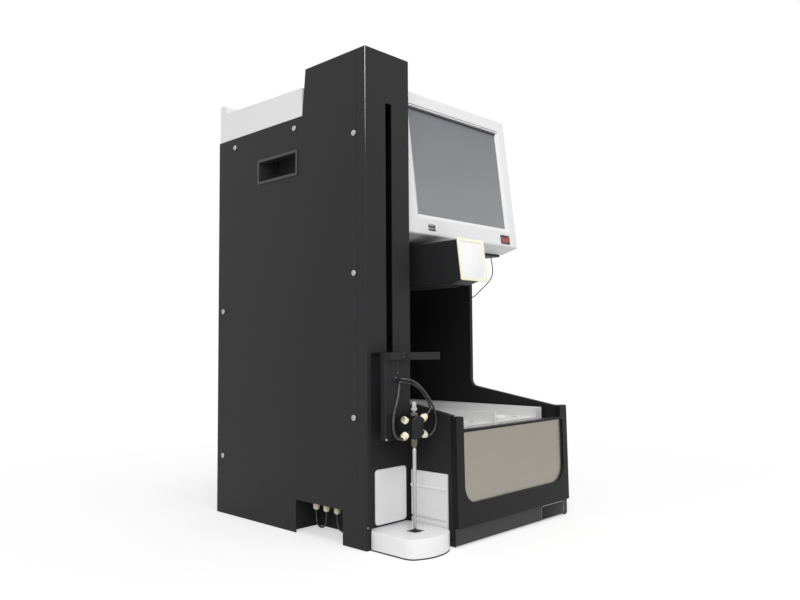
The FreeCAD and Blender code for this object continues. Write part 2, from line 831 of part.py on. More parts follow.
def tray_plan(inset, z):
    """The drip tray's outline: one wide arc across the front, a step at the back for the jamb."""
    left, right = tray_left + inset, tray_right - inset
    back, shoulder = tray_back - inset, tray_shoulder - inset
    step = jamb_width + sheet + 2 * air + inset
    apex, corner = tray_apex + inset, tray_corner + inset
    corners = [V(right, corner, z), V(right, back, z), V(step, back, z), V(step, shoulder, z),
               V(left, shoulder, z), V(left, corner, z)]
    edges = [Part.makeLine(a, b) for a, b in zip(corners, corners[1:])]
    edges.append(Part.Arc(corners[-1], V((left + right) / 2, apex, z), corners[0]).toShape())
    return Part.Face(Part.Wire(edges))


def drip_tray():
    """A hollow white block with a square drain, a basin inside and a channel for its tongue."""
    height = tray_head - tray_foot
    block = tray_plan(0, tray_foot).extrude(V(0, 0, height))
    block = rounded(block, tray_round, V(0, 0, 1), lambda c: c.y < -50)
    rim = [e for e in block.Edges if abs(e.CenterOfMass.z - tray_head) < 0.01
           and e.CenterOfMass.y < tray_shoulder - 1]
    block = block.makeChamfer(1.4, rim)
    channel = box(tongue_left - 1, tongue_right + 1, tongue_front - 1, tray_back + 1, tray_foot - 1,
                  pan_floor + sheet + air)
    foot = pan_floor + sheet + air + basin_floor
    basin = tray_plan(tray_wall + 2, foot).extrude(V(0, 0, tray_head - tray_wall - foot))
    half = drain_side / 2
    drain = box(valve_x - half, valve_x + half, port_plane - half, port_plane + half, foot, tray_head + 1)
    drain = rounded(drain, 1.5, V(0, 0, 1))
    return block.cut(channel).cut(basin).cut(drain)


# Column carriage
def carriage_plate():
    """A folded box with open back, a tube hole, two spare holes and a foot flange."""
    outer = box(plate_left, plate_right, plate_front, plate_back, plate_foot, plate_head)
    outer = rounded(outer, 1.5, V(0, 0, 1), lambda c: c.y < plate_front + 1)
    inner = box(plate_left + sheet, plate_right - sheet, plate_front + sheet, plate_back + 1,
                plate_foot + sheet, plate_head - sheet)
    plate = outer.cut(inner)
    holes = [(hole_x, hole_z, hole_radius)] + [(x, z, spare_radius) for x, z in spare_holes]
    for x, z, radius in holes:
        plate = plate.cut(rod(radius, V(x, plate_front - 1, z), V(x, plate_front + sheet + 1, z)))
    return plate


def carriage_slider():
    """The block on the rail: neck through the slot, a bore for the screw and rail jaws."""
    half = slider_width / 2
    front, back = sheet + 13, rail_y + rail_depth + 5
    block = box(slot_x - half, slot_x + half, front, back, slider_foot, slider_head)
    block = rounded(block, 3.0, V(0, 0, 1))
    channel = box(slot_x - rail_width / 2 - air, slot_x + rail_width / 2 + air, rail_y - air,
                  rail_y + rail_depth + air, slider_foot - 1, slider_head + 1)
    mouth = box(slot_x - rail_width / 2 + 3, slot_x + rail_width / 2 - 3, rail_y, back + 1,
                slider_foot - 1, slider_head + 1)
    neck = box(slot_left + 1, slot_right - 1, plate_front + sheet, front + 1, slider_foot, slider_head)
    bore = rod(screw_radius + shaft_air, V(slot_x, screw_y, slider_foot - 1), V(slot_x, screw_y, slider_head + 1))
    return block.cut(channel).cut(mouth).fuse(neck).removeSplitter().cut(bore)


def carriage_bar():
    """The cross bar on the plate's head, with the pivot ear for the swinging arm."""
    foot, head = plate_head - bar_height + 1, plate_head + 1
    bar = box(plate_left, pivot_x - ear_radius - air, bar_front, plate_front, foot, head)
    bar = rounded(bar, 1.0, V(1, 0, 0), lambda c: c.y < bar_front + 1)
    pin = rod(pivot_pin, V(pivot_x, pivot_y, foot), V(pivot_x, pivot_y, head))
    cap = box(plate_left, plate_right, plate_front - 0.1, plate_back, plate_head, head)
    parts = [pin, cap]
    for z in (foot, head - ear_thickness):
        ear = rod(ear_radius, V(pivot_x, pivot_y, z), V(pivot_x, pivot_y, z + ear_thickness))
        web = box(pivot_x - ear_radius - 1, pivot_x, bar_front + 1, plate_front, z, z + ear_thickness)
        parts.append(ear.fuse(web).cut(box(plate_left, plate_right, plate_front, 0, foot - 1, head + 1)))
    return bar.multiFuse(parts).removeSplitter()


def column_arm():
    """The swinging arm that holds a column's head, round at its pivot."""
    foot, head = plate_head - bar_height + 1, plate_head + 1
    half = arm_thickness / 2
    ear = ear_thickness + air
    arm = box(pivot_x, pivot_x + arm_length, pivot_y - half, pivot_y + half, foot, head)
    boss = rod(half + 0.7, V(pivot_x, pivot_y, foot + ear), V(pivot_x, pivot_y, head - ear))
    relief = ear_radius + air
    arm = arm.cut(rod(relief, V(pivot_x, pivot_y, foot - 1), V(pivot_x, pivot_y, foot + ear)))
    arm = arm.cut(rod(relief, V(pivot_x, pivot_y, head - ear), V(pivot_x, pivot_y, head + 1)))
    end = rounded(arm, 1.2, V(0, 0, 1), lambda c: c.x > pivot_x + arm_length - 1)
    bore = rod(pivot_pin + shaft_air, V(pivot_x, pivot_y, foot - 1), V(pivot_x, pivot_y, head + 1))
    arm = end.fuse(boss).removeSplitter().cut(bore)
    arm.rotate(V(pivot_x, pivot_y, 0), V(0, 0, 1), -arm_rest)
    return arm


def radial(angle, reach):
    turn = math.radians(angle)
    return V(valve_x + reach * math.cos(turn), port_plane, valve_z + reach * math.sin(turn))


def valve_body():
    """The six-port valve: a six-sided body with a hexagonal boss on each flat, on a square foot."""
    corners = []
    for k in range(7):
        turn = math.radians(60 * k)
        corners.append((valve_x + valve_radius * math.cos(turn), valve_z + valve_radius * math.sin(turn)))
    body = prism_y(corners[:6], valve_front, plate_front)
    foot = valve_radius + 3
    body = body.fuse(box(valve_x - foot, valve_x + foot, plate_front - 6, plate_front, valve_z - foot,
                         valve_z + foot))
    for k in range(6):
        angle = 30 + 60 * k
        reach = boss_reach if angle in nut_ports else stem_reach
        body = body.fuse(hexagon(boss_radius, radial(angle, 2), radial(angle, reach)))
    return body.removeSplitter()


def valve_stator():
    """The tall eight-sided cap on the valve's nose."""
    half, tall = hub_width / 2, hub_height / 2
    cap = box(valve_x - half, valve_x + half, hub_front, valve_front, valve_z - tall, valve_z + tall)
    cap = bevelled(cap, hub_corner, V(0, 1, 0))
    return cap.makeChamfer(1.0, [e for e in cap.Edges if abs(e.CenterOfMass.y - hub_front) < 0.01])


def port_nuts():
    """Finger-tight nuts: a six-sided grip, and a narrower nose where a hose leaves."""
    nuts = []
    for angle in nut_ports:
        shoulder = radial(angle, nut_reach - 3)
        nut = hexagon(nut_radius, radial(angle, boss_reach), shoulder)
        if angle != blank_port:
            nut = nut.fuse(hexagon(nut_radius - 1.6, shoulder, radial(angle, nut_reach)))
        nuts.append(nut)
    return Part.makeCompound(nuts)


def luer_fitting():
    """The column's lower fitting: a flange, a neck and the ring under the open cup."""
    base = valve_z + stem_reach
    shape = rod(flange_radius, V(valve_x, port_plane, base), V(valve_x, port_plane, base + 3.5))
    for radius, start, end in ((neck_radius, 3.5, 6.5), (ring_radius, 6.5, luer_seat)):
        shape = shape.fuse(rod(radius, V(valve_x, port_plane, base + start), V(valve_x, port_plane, base + end)))
    return shape.removeSplitter()


def luer_barrel():
    base = valve_z + stem_reach + luer_seat
    barrel = rod(barrel_radius, V(valve_x, port_plane, base), V(valve_x, port_plane, luer_top))
    bore = rod(luer_bore, V(valve_x, port_plane, base + 1), V(valve_x, port_plane, luer_top + 1))
    return barrel.cut(bore)


def drain_needle():
    """Flange, six-sided nut, neck and the long tapered needle that drains into the tray."""
    top = valve_z - stem_reach
    tip = tray_head + needle_clear
    shoulder = top - 13.5

    def at(z):
        return V(valve_x, port_plane, z)
    flange = rod(flange_radius, at(top - 3.5), at(top))
    nut = hexagon(needle_nut, at(top - 10.5), at(top - 3.5))
    neck = rod(neck_radius, at(shoulder), at(top - 10.5))
    needle = lofted(ring(needle_tip, at(tip + 2)), ring(needle_radius, at(shoulder)))
    point = Part.makeCone(1.2, needle_tip, 2, at(tip), V(0, 0, 1))
    return flange.multiFuse([nut, neck, needle, point]).removeSplitter()


def valve_hoses():
    """Three thin hoses from the plate's hole, arched over to their nuts."""
    start = plate_front
    outer = [V(41.5, start, 221), V(43, -23, 221), V(54.3, -31, 219.3), V(61.2, -39, 211.4),
             V(70.4, -43, 199.2), V(76, -45, 189.7), V(81.8, -46, 180.1), V(85.2, -46, 167.8),
             V(84.6, -46, 158), V(80.5, -45, 149.5), V(75, -43.8, 145.2), radial(330, nut_reach + 1.5),
             radial(330, nut_reach)]
    inner = [V(40.5, start, 217), V(43, -22.5, 216.5), V(57.4, -28, 214.5), V(65.5, -35, 207.1),
             V(70.9, -39, 197.7), V(75.4, -42, 188.2), V(77.6, -43, 180.2), radial(30, nut_reach + 5.3),
             radial(30, nut_reach)]
    left = [V(37.5, start, 219.8), V(37.5, -23.5, 218.5), V(30.4, -30, 209.8), V(23.5, -35, 199),
            V(16.3, -39, 190.5), V(10.6, -41, 181.3), V(6.2, -43, 171.7), V(5.6, -43.5, 161.5),
            V(7.5, -43.5, 152.5), V(13, -43.2, 147), radial(210, nut_reach + 1.5), radial(210, nut_reach)]
    hoses = []
    for name, route in (("outer hose", outer), ("inner hose", inner), ("left hose", left)):
        hoses.append(tube(name, route, hose))
    return Part.makeCompound(hoses)


# Lift in the tower
def lift_rail():
    """A guide rail between two cross plates that also hold the screw's ends."""
    rail = box(slot_x - rail_width / 2, slot_x + rail_width / 2, rail_y, rail_y + rail_depth, lift_plate_foot,
               lift_plate_head)
    front = screw_y - motor_side / 2
    plates = []
    for z in (lift_plate_foot, lift_plate_head - lift_plate):
        plate = box(sheet, tower_inner, front, front + lift_plate_depth, z, z + lift_plate)
        plates.append(plate)
    rail = rail.multiFuse(plates).removeSplitter()
    bore = rod(screw_radius + shaft_air, V(slot_x, screw_y, 0), V(slot_x, screw_y, tower_top))
    return rail.cut(bore)


def lift_screw():
    foot = lift_plate_foot + 0.5
    return rod(screw_radius, V(slot_x, screw_y, foot), V(slot_x, screw_y, lift_plate_head))


def lift_motor():
    """A square stepper motor that hangs under the lower cross plate."""
    half = motor_side / 2
    body = box(slot_x - half, slot_x + half, screw_y - half + air, screw_y + half,
               lift_plate_foot - motor_length, lift_plate_foot)
    return bevelled(body, 4.5, V(0, 0, 1))


# Fraction collector
def collector_arm():
    """A hollow beam, slotted below for the head, with a leaning front end and jaws on the rear rail."""
    x0, x1 = arm_left, arm_left + arm_width
    rail_front = bay_rear - collector_rail_depth
    beam = box(x0, x1, arm_front, bay_rear - air, arm_foot, arm_head)
    beam = rounded(beam, 3.0, V(0, 1, 0)).cut(cover_block(x0 - 1, x1 + 1, arm_foot - 9, arm_head + 9, 0, 30))
    front, back = arm_front + 15, rail_front - 14
    hollow = box(x0 + arm_wall, x1 - arm_wall, front, back, arm_foot + arm_wall, arm_head - arm_wall)
    jaws = box(x0 - 1, x1 + 1, rail_front - air, bay_rear + 1, collector_rail_foot - air,
               collector_rail_head + air)
    middle, half = arm_left + arm_width / 2, head_neck / 2 + air
    slot = box(middle - half, middle + half, front, back, arm_foot - 1, arm_foot + arm_wall + 1)
    return beam.cut(hollow).cut(jaws).cut(slot)


def cover_block(x0, x1, z0, z1, d0, d1):
    """A block on the arm's leaning front face: d is the depth ahead of the arm."""
    block = box(x0, x1, arm_front - d1, arm_front - d0, z0, z1)
    block.rotate(V(0, arm_front, arm_foot), V(1, 0, 0), -cover_lean)
    return block


def arm_end_cover():
    """The thin leaning end cover: a moulded frame round a shallow panel seat."""
    cover = cover_face(0, 0, cover_depth)
    corners = [e for e in cover.Edges if abs(e.Length - cover_depth) < 0.01]
    cover = cover.makeFillet(2.4, corners)
    return cover.cut(cover_face(cover_rim, cover_depth - cover_seat, cover_depth + 2))


def arm_inset_panel():
    return cover_face(cover_rim + 0.15, cover_depth - cover_seat, cover_depth - 0.4)


def cover_face(inset, start, end):
    """A block over the whole end of the arm, inset all round, between two depths ahead of it."""
    x0, x1 = arm_left + inset, arm_left + arm_width - inset
    return cover_block(x0, x1, arm_foot + cover_foot + inset, arm_head + cover_head - inset, start, end)


def drop_head():
    """The travelling head: a tongue in the arm's slot, a body and the drip nozzle."""
    middle = arm_left + arm_width / 2
    half = head_width / 2
    body = box(middle - half, middle + half, head_y - head_depth / 2, head_y + head_depth / 2, head_foot,
               arm_foot - air)
    body = bevelled(body, 2.0, V(0, 0, 1))
    y0, y1 = head_y - head_tongue_length / 2, head_y + head_tongue_length / 2
    lip = arm_foot + arm_wall + air
    neck = box(middle - head_neck / 2, middle + head_neck / 2, y0, y1, arm_foot - 1, lip + 1)
    tongue = box(middle - head_tongue / 2, middle + head_tongue / 2, y0, y1, lip, lip + 3)
    spigot = lofted(ring(3.0, V(middle, head_y, head_foot - 8)), ring(7.0, V(middle, head_y, head_foot + 0.1)))
    nozzle = rod(1.6, V(middle, head_y, head_foot - 8 - nozzle_length), V(middle, head_y, head_foot - 7))
    return body.multiFuse([neck, tongue, spigot, nozzle]).removeSplitter()


def collector_rail():
    y0, y1 = bay_rear - collector_rail_depth, bay_rear
    z0, z1 = collector_rail_foot, collector_rail_head
    rail = box(tower_width + air + sheet, wall_inner - air, y0, y1, z0, z1)
    groove = prism_x([(y0 - 1, z0 + 6), (y0 + 3, z0 + 8), (y0 + 3, z1 - 8), (y0 - 1, z1 - 6)], 0, width)
    return rail.cut(groove)


def collector_motor():
    """The drive for the rail's belt, on the back of the bay."""
    front, side = bay_rear + sheet, collector_motor_side
    head = bay_roof - collector_motor_drop
    body = box(collector_motor_left, collector_motor_left + side, front, front + collector_motor_length,
               head - side, head)
    body = bevelled(body, 3.5, V(0, 1, 0))
    back = V(collector_motor_left + side / 2, front + collector_motor_length, head - side / 2)
    cap = rod(16.0, back, back + V(0, 6, 0))
    return body.fuse(cap).removeSplitter()


# Racks
def rack():
    """The right rack: low front edge, a broad outer rim, and a plate with wells for bottles."""
    x0 = rack_left_x + rack_width + rack_gap
    x1 = x0 + rack_width
    foot = bay_floor + air
    wall = rack_wall
    shell = box(x0, x1, rack_front, rack_rear, foot, rack_rim)
    shell = rounded(shell, 4.0, V(0, 0, 1))
    step = box(x0 + wall, x1 - rack_side, rack_front - 1, rack_rear - wall, rack_plate, rack_rim + 1)
    step = rounded(step, 3.0, V(0, 0, 1), lambda c: c.y > 0)
    inside = box(x0 + wall, x1 - wall, rack_front + wall, rack_rear - wall, foot + rack_plate_thickness,
                 rack_plate - well_depth - rack_plate_thickness)
    shell = shell.cut(step).cut(inside)
    for row in range(well_rows):
        y = rack_front + well_first + row * well_pitch
        for side in (-1, 1):
            x = (x0 + wall + x1 - rack_side + side * well_spread) / 2
            start, end = V(x, y, rack_plate - well_depth), V(x, y, rack_plate + 1)
            shell = shell.cut(hexagon(well_radius, start, end, well_sides))
    return shell


def left_rack():
    """The left rack, the right one's mirror image."""
    return rack().mirror(V(rack_left_x + rack_width + rack_gap / 2, 0, 0), V(1, 0, 0))


# Rear and inner pieces
def fan_frame():
    """The fan's square frame: round duct, three struts and the bearing hub."""
    half = fan_side / 2
    y0, y1 = rear_skin - fan_depth, rear_skin
    frame = box(fan_x - half, fan_x + half, y0, y1, fan_z - half, fan_z + half)
    frame = bevelled(frame, 4.0, V(0, 1, 0))
    frame = frame.cut(hexagon(fan_bore, V(fan_x, y0 - 1, fan_z), V(fan_x, y1 + 1, fan_z), fan_sides))
    hub = rod(fan_hub, V(fan_x, y0, fan_z), V(fan_x, y0 + 3, fan_z))
    for k in range(3):
        strut = box(fan_x - 2, fan_x + 2, y0, y0 + 3, fan_z, fan_z + fan_bore + 1)
        strut.rotate(V(fan_x, 0, fan_z), V(0, 1, 0), 120 * k)
        hub = hub.fuse(strut)
    frame = frame.fuse(hub).removeSplitter()
    return frame.cut(rod(2 + shaft_air, V(fan_x, y0 - 1, fan_z), V(fan_x, y0 + 4, fan_z)))


def fan_rotor():
    """Hub cup, shaft and pitched blades."""
    y0 = rear_skin - fan_depth
    start, end = y0 + 3 + air, rear_skin - 2
    rotor = hexagon(fan_hub, V(fan_x, start, fan_z), V(fan_x, end, fan_z), fan_sides)
    rotor = rotor.fuse(rod(2.0, V(fan_x, y0 + 0.5, fan_z), V(fan_x, start + 1, fan_z)))
    for k in range(fan_blades):
        blade = box(-1, 1, -9, 9, fan_hub - 1, fan_bore - 1.2)
        blade.rotate(V(0, 0, 0), V(0, 0, 1), 32)
        blade.translate(V(fan_x, (start + end) / 2, fan_z))
        blade.rotate(V(fan_x, 0, fan_z), V(0, 1, 0), 360 * k / fan_blades)
        rotor = rotor.fuse(blade)
    return rotor.removeSplitter()


def fan_guard():
    """A stamped finger guard: a square plate with rows of slots, longest across the middle."""
    half = guard_side / 2
    guard = box(fan_x - half, fan_x + half, rear_skin + sheet, guard_back, fan_z - half, fan_z + half)
    guard = bevelled(guard, 6.0, V(0, 1, 0))
    for k in range(-guard_slots, guard_slots + 1):
        z = fan_z + k * guard_pitch
        reach = math.sqrt(fan_bore ** 2 - (k * guard_pitch) ** 2)
        for side in (-1, 1):
            x0, x1 = sorted((fan_x + side * guard_rib / 2, fan_x + side * reach))
            guard = guard.cut(box(x0, x1, rear_skin, guard_back + 1, z - guard_slot / 2, z + guard_slot / 2))
    return guard


def power_inlet():
    """A mains inlet: flange, shrouded socket and its three blades."""
    w, h = inlet_width - 0.3, inlet_height - 0.3
    y1 = rear_skin + sheet
    body = box(inlet_x - w / 2, inlet_x + w / 2, y1 - inlet_depth, y1 + 0.5, inlet_z - h / 2, inlet_z + h / 2)
    half, tall = inlet_flange / 2, inlet_flange_height / 2
    flange = box(inlet_x - half, inlet_x + half, y1, y1 + 1.5, inlet_z - tall, inlet_z + tall)
    flange = bevelled(flange, 4.0, V(0, 1, 0))
    inlet = body.fuse(flange).removeSplitter()
    half, tall, floor = socket_width / 2, socket_height / 2, y1 + 1.5 - socket_depth
    inlet = inlet.cut(box(inlet_x - half, inlet_x + half, floor, y1 + 3, inlet_z - tall, inlet_z + tall))
    for place in (-1, 0, 1):
        x = inlet_x + place * blade_pitch
        z = inlet_z + (3.0 if place == 0 else -2.0)
        inlet = inlet.fuse(box(x - 1, x + 1, floor - 1, y1 - 4, z - 2, z + 2))
    return inlet


def power_supply():
    """A boxed supply with a row of vents, on the base pan behind the bay."""
    x0, x1 = supply_left, supply_left + supply_width
    y0, y1 = bay_rear + module_gap, bay_rear + module_gap + supply_depth
    z0, z1 = pan_floor + sheet, supply_head
    wall = supply_wall
    case = box(x0, x1, y0, y1, z0, z1)
    case = case.cut(box(x0 + wall, x1 - wall, y0 + wall, y1 - wall, z0 + wall, z1 - wall))
    for k in range(supply_vents):
        x = x0 + 12 + supply_vent_pitch * k
        case = case.cut(box(x, x + supply_vent_pitch / 2, y0 + 12, y1 - 12, z1 - 5, z1 + 1))
    return case


def pump_modules():
    """Two piston pumps: motor, gearbox, head and the two check valves on each."""
    pumps = []
    foot = pan_floor + sheet
    x = pump_left + pump_width / 2
    motor_foot = foot + pump_base
    head_foot = motor_foot + pump_motor_height
    head_top = head_foot + pump_head_height
    for front in pump_fronts:
        y = front + pump_depth / 2
        base = box(pump_left, pump_left + pump_width, front, front + pump_depth, foot, motor_foot)
        base = bevelled(base, 3.0, V(0, 0, 1))
        motor = hexagon(pump_motor_radius, V(x, y, motor_foot), V(x, y, head_foot), 12)
        head = box(x - pump_head_width / 2, x + pump_head_width / 2, y - pump_head_depth / 2,
                   y + pump_head_depth / 2, head_foot, head_top)
        pump = base.multiFuse([motor, head])
        for side in (-1, 1):
            start = V(x, y + side * pump_head_depth / 3, head_top)
            pump = pump.fuse(hexagon(check_valve_radius, start, start + V(0, 0, check_valve_height)))
        pumps.append(pump.removeSplitter())
    return Part.makeCompound(pumps)


def detector_module():
    """The absorbance detector: lamp house with fins and the flow cell on top."""
    x0, x1 = detector_left, detector_left + detector_width
    y0, y1 = bay_rear + module_gap, bay_rear + module_gap + detector_depth
    z0, z1 = pan_floor + sheet, pan_floor + sheet + detector_height
    body = box(x0, x1, y0, y1, z0, z1)
    for k in range(fin_count):
        y = y0 + 6 + fin_pitch * k
        body = body.cut(box(x0 - 1, x0 + fin_depth, y, y + fin_pitch / 2, z0 + 8, z1 + 1))
    middle = V(x1 - 40, (y0 + y1) / 2, z1 - 1)
    cell = rod(cell_radius, middle, middle + V(0, 0, cell_height + 1))
    return body.fuse(cell).removeSplitter()


def control_board():
    """The main board on four posts behind the bay, with its larger components."""
    wall = bay_rear + sheet
    face = wall + board_gap + board_thickness
    board = box(board_left, board_right, wall + board_gap, face, board_foot, board_head)
    parts = []
    for x in (board_left + board_margin, board_right - board_margin):
        for z in (board_foot + board_margin, board_head - board_margin):
            parts.append(box(x - 3, x + 3, wall, face - 1, z - 3, z + 3))
    # the processor, a transformer and three capacitors
    parts.append(box(board_left + 40, board_left + 72, face - 0.5, face + 3.4, board_foot + 90, board_foot + 122))
    parts.append(box(board_right - 90, board_right - 30, face - 0.5, face + 15.4, board_foot + 20,
                     board_foot + 48))
    for k in range(3):
        start = V(board_right - 50, face - 0.5, board_foot + 70 + 35 * k)
        parts.append(rod(6.0, start, start + V(0, 20, 0)))
    return board.multiFuse(parts).removeSplitter()


def bulkhead_fittings():
    """Three nuts under the port shelf, each with a wider six-sided base against it."""
    nuts = []
    for y in port_y:
        seat = V(port_x, y, port_shelf - 1.5)
        base = hexagon(port_nut_radius + 1, seat, V(port_x, y, port_shelf))
        grip = hexagon(port_nut_radius, V(port_x, y, port_shelf - port_nut_length), seat)
        nuts.append(base.fuse(grip))
    return Part.makeCompound(nuts)


def bulkhead_tubes():
    """A short loop between the two rear ports, and a tube from the third to the recess's front wall."""
    z = port_shelf - port_nut_length
    first, second, third = port_y[2], port_y[1], port_y[0]
    low = pan_floor + port_tube / 2
    recess_front = port_front - 0.8 * sheet
    loop = [V(port_x, first, z), V(port_x, first, z - 14), V(port_x - 1, first - 4, low + 3),
            V(port_x - 1, first - 9, low), V(port_x - 1, second + 8, low), V(port_x - 1, second + 3, low + 3),
            V(port_x, second, z - 14), V(port_x, second, z)]
    away = [V(port_x, third, z), V(port_x, third, z - 12), V(port_x, third - 4, low + 3),
            V(port_x, third - 12, low), V(port_x, port_front + 4, low + 2), V(port_x, recess_front, low + 2)]
    return Part.makeCompound([tube("port loop", loop, port_tube), tube("port tube", away, port_tube)])


def display_lead():
    """The thin lead that hangs from the display's floor to the edge of the right wall."""
    x = width - 3.5
    route = []
    for y, drop in ((63.5, 0), (63.5, 5), (62, 13), (60.4, 21), (60.6, 31), (64.4, 39.5), (73, 47.5), (84, 55.5),
                    (94, 63), (104, 69.5), (wall_edge, 69.5)):
        route.append(V(x, y, housing_floor - drop))
    return tube("display lead", route, 1.6)


def fitted(shape, name):
    """Stop on a shape that is not sound."""
    if not shape.isValid() or shape.Volume <= 0:
        raise ValueError(name + " is not a sound solid")
    return shape


pieces = {
    "base_pan": base_pan(), "rubber_feet": rubber_feet(), "left_side_panel": left_side_panel(),
    "right_side_panel": right_side_panel(), "tower_cover": tower_cover(), "rear_panel": rear_panel(),
    "top_cover": top_cover(), "display_housing": display_housing(), "touch_screen": touch_screen(),
    "usb_ports": usb_ports(), "rocker_frame": rocker_frame(), "power_rocker": power_rocker(),
    "bay_ceiling": bay_ceiling(), "bay_liner": bay_liner(), "bay_left_cheek": bay_left_cheek(),
    "front_frame": front_frame(), "stainless_insert": stainless_insert(), "kick_panel": kick_panel(),
    "column_bay_liner": column_bay_liner(), "rear_splash_panel": rear_splash_panel(),
    "side_splash_panel": side_splash_panel(), "drip_tray": drip_tray(),
    "left_handle_cup": handle_cup(), "right_handle_cup": handle_cup().mirror(V(width / 2, 0, 0), V(1, 0, 0)),
    "bulkhead_fittings": bulkhead_fittings(),
    "bulkhead_tubes": bulkhead_tubes(), "display_lead": display_lead(),
    "carriage_plate": carriage_plate(), "carriage_slider": carriage_slider(), "carriage_bar": carriage_bar(),
    "column_arm": column_arm(), "valve_body": valve_body(),
    "valve_stator": valve_stator(), "port_nuts": port_nuts(), "luer_fitting": luer_fitting(),
    "luer_barrel": luer_barrel(), "drain_needle": drain_needle(), "valve_hoses": valve_hoses(),
    "lift_rail": lift_rail(), "lift_screw": lift_screw(), "lift_motor": lift_motor(),
    "collector_arm": collector_arm(), "arm_end_cover": arm_end_cover(), "arm_inset_panel": arm_inset_panel(),
    "drop_head": drop_head(), "collector_rail": collector_rail(), "collector_motor": collector_motor(),
    "left_rack": left_rack(), "right_rack": rack(),
    "fan_frame": fan_frame(), "fan_rotor": fan_rotor(), "fan_guard": fan_guard(), "power_inlet": power_inlet(),
    "power_supply": power_supply(), "pump_modules": pump_modules(), "detector_module": detector_module(),
    "control_board": control_board(),
}
for name, shape in pieces.items():
    save(name, fitted(shape, name))
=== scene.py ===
import json
import math
import bpy
from mathutils import Matrix, Vector


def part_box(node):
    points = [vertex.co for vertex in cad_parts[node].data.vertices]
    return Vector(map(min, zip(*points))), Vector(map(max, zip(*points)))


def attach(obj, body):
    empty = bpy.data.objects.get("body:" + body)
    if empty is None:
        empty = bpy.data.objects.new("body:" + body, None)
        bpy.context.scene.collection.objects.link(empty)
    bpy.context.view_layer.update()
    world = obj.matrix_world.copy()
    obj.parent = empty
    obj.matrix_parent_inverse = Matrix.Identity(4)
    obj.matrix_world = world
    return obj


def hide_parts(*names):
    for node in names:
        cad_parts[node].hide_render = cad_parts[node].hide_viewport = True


# A bench-top flash chromatography system on a pale bench, metres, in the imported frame:
# +Z up, front towards -Y, origin on the bench under the middle of the machine.
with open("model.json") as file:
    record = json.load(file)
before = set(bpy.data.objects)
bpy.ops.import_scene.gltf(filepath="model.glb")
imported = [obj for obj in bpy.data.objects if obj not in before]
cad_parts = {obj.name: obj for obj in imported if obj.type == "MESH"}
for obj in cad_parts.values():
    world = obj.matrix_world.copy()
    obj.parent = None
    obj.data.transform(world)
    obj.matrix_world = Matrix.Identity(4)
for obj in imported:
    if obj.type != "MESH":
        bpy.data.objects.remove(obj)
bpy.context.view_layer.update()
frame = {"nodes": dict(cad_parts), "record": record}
mm = 0.001
smooth_angle = math.radians(35)

# Places shared by several pieces, in millimetres from the tower's front left bottom corner
valve_x, port_plane, valve_z = 45, -43, 159
port_x, port_shelf = 22, 48
port_depths = (82.5, 105, 127.5)


def corners(name):
    """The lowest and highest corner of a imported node."""
    low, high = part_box(name)
    return Vector(low), Vector(high)


def place(x, y, z):
    """A point given in millimetres from the tower's front left bottom corner."""
    return Vector((x - 180, y - 135, z)) * mm


# Shader maths as Python expressions
class Value:
    """A number that a node works out: each + - or * adds a Math node."""

    def __init__(self, finish, socket):
        self.finish = finish
        self.socket = socket

    def math(self, operation, *values):
        return self.finish.node("Math", {"operation": operation}, dict(enumerate(values)))

    def __add__(self, other):
        return self.math("ADD", self, other)

    def __radd__(self, other):
        return self.math("ADD", other, self)

    def __sub__(self, other):
        return self.math("SUBTRACT", self, other)

    def __mul__(self, other):
        return self.math("MULTIPLY", self, other)

    def __rmul__(self, other):
        return self.math("MULTIPLY", other, self)


class Finish:
    """One procedural material, built node by node."""

    def __init__(self, name):
        self.material = bpy.data.materials.new(name)
        self.material.use_nodes = True
        self.tree = self.material.node_tree
        self.tree.nodes.clear()
        self.position = self.node("TexCoord", output="Object")

    def node(self, kind, settings=None, inputs=None, output=0):
        """Add a node: its settings first, then a value or a link for each named socket."""
        made = self.tree.nodes.new("ShaderNode" + kind)
        for key, setting in (settings or {}).items():
            setattr(made, key, setting)
        for key, value in (inputs or {}).items():
            if isinstance(value, Value):
                self.tree.links.new(value.socket, made.inputs[key])
            else:
                made.inputs[key].default_value = value
        return Value(self, made.outputs[output]) if made.outputs else None

    def noise(self, size, detail=2.0, stretch=(1, 1, 1), roughness=0.5):
        """Noise between 0 and 1 with features of about this size in metres."""
        spot = self.position
        if stretch != (1, 1, 1):
            spot = self.node("Mapping", None, {"Vector": spot, "Scale": stretch})
        inputs = {"Vector": spot, "Scale": 1 / size, "Detail": detail, "Roughness": roughness}
        return self.node("TexNoise", None, inputs)

    def mix(self, factor, first, second):
        """One of two colours, or a blend of them."""
        inputs = {0: factor, 6: (*first, 1.0) if isinstance(first, tuple) else first,
                  7: (*second, 1.0) if isinstance(second, tuple) else second}
        return self.node("Mix", {"data_type": "RGBA"}, inputs, output=2)

    def height(self):
        """How high a point lies on the piece, in metres above the bench."""
        return self.node("SeparateXYZ", None, {"Vector": self.position}, output=2)

    def bump(self, height, distance, strength=1.0):
        inputs = {"Height": height, "Distance": distance, "Strength": strength}
        return self.node("Bump", None, inputs)

    def surface(self, **inputs):
        """Close the material with a Principled shader."""
        sockets = {key.replace("_", " "): value for key, value in inputs.items()}
        for key, value in sockets.items():
            if isinstance(value, tuple) and len(value) == 3 and "Color" in key:
                sockets[key] = (*value, 1.0)
        shader = self.node("BsdfPrincipled", None, sockets)
        self.node("OutputMaterial", None, {"Surface": shader})
        return self.material


def tinted(colour, factor):
    return tuple(min(1.0, channel * factor) for channel in colour)


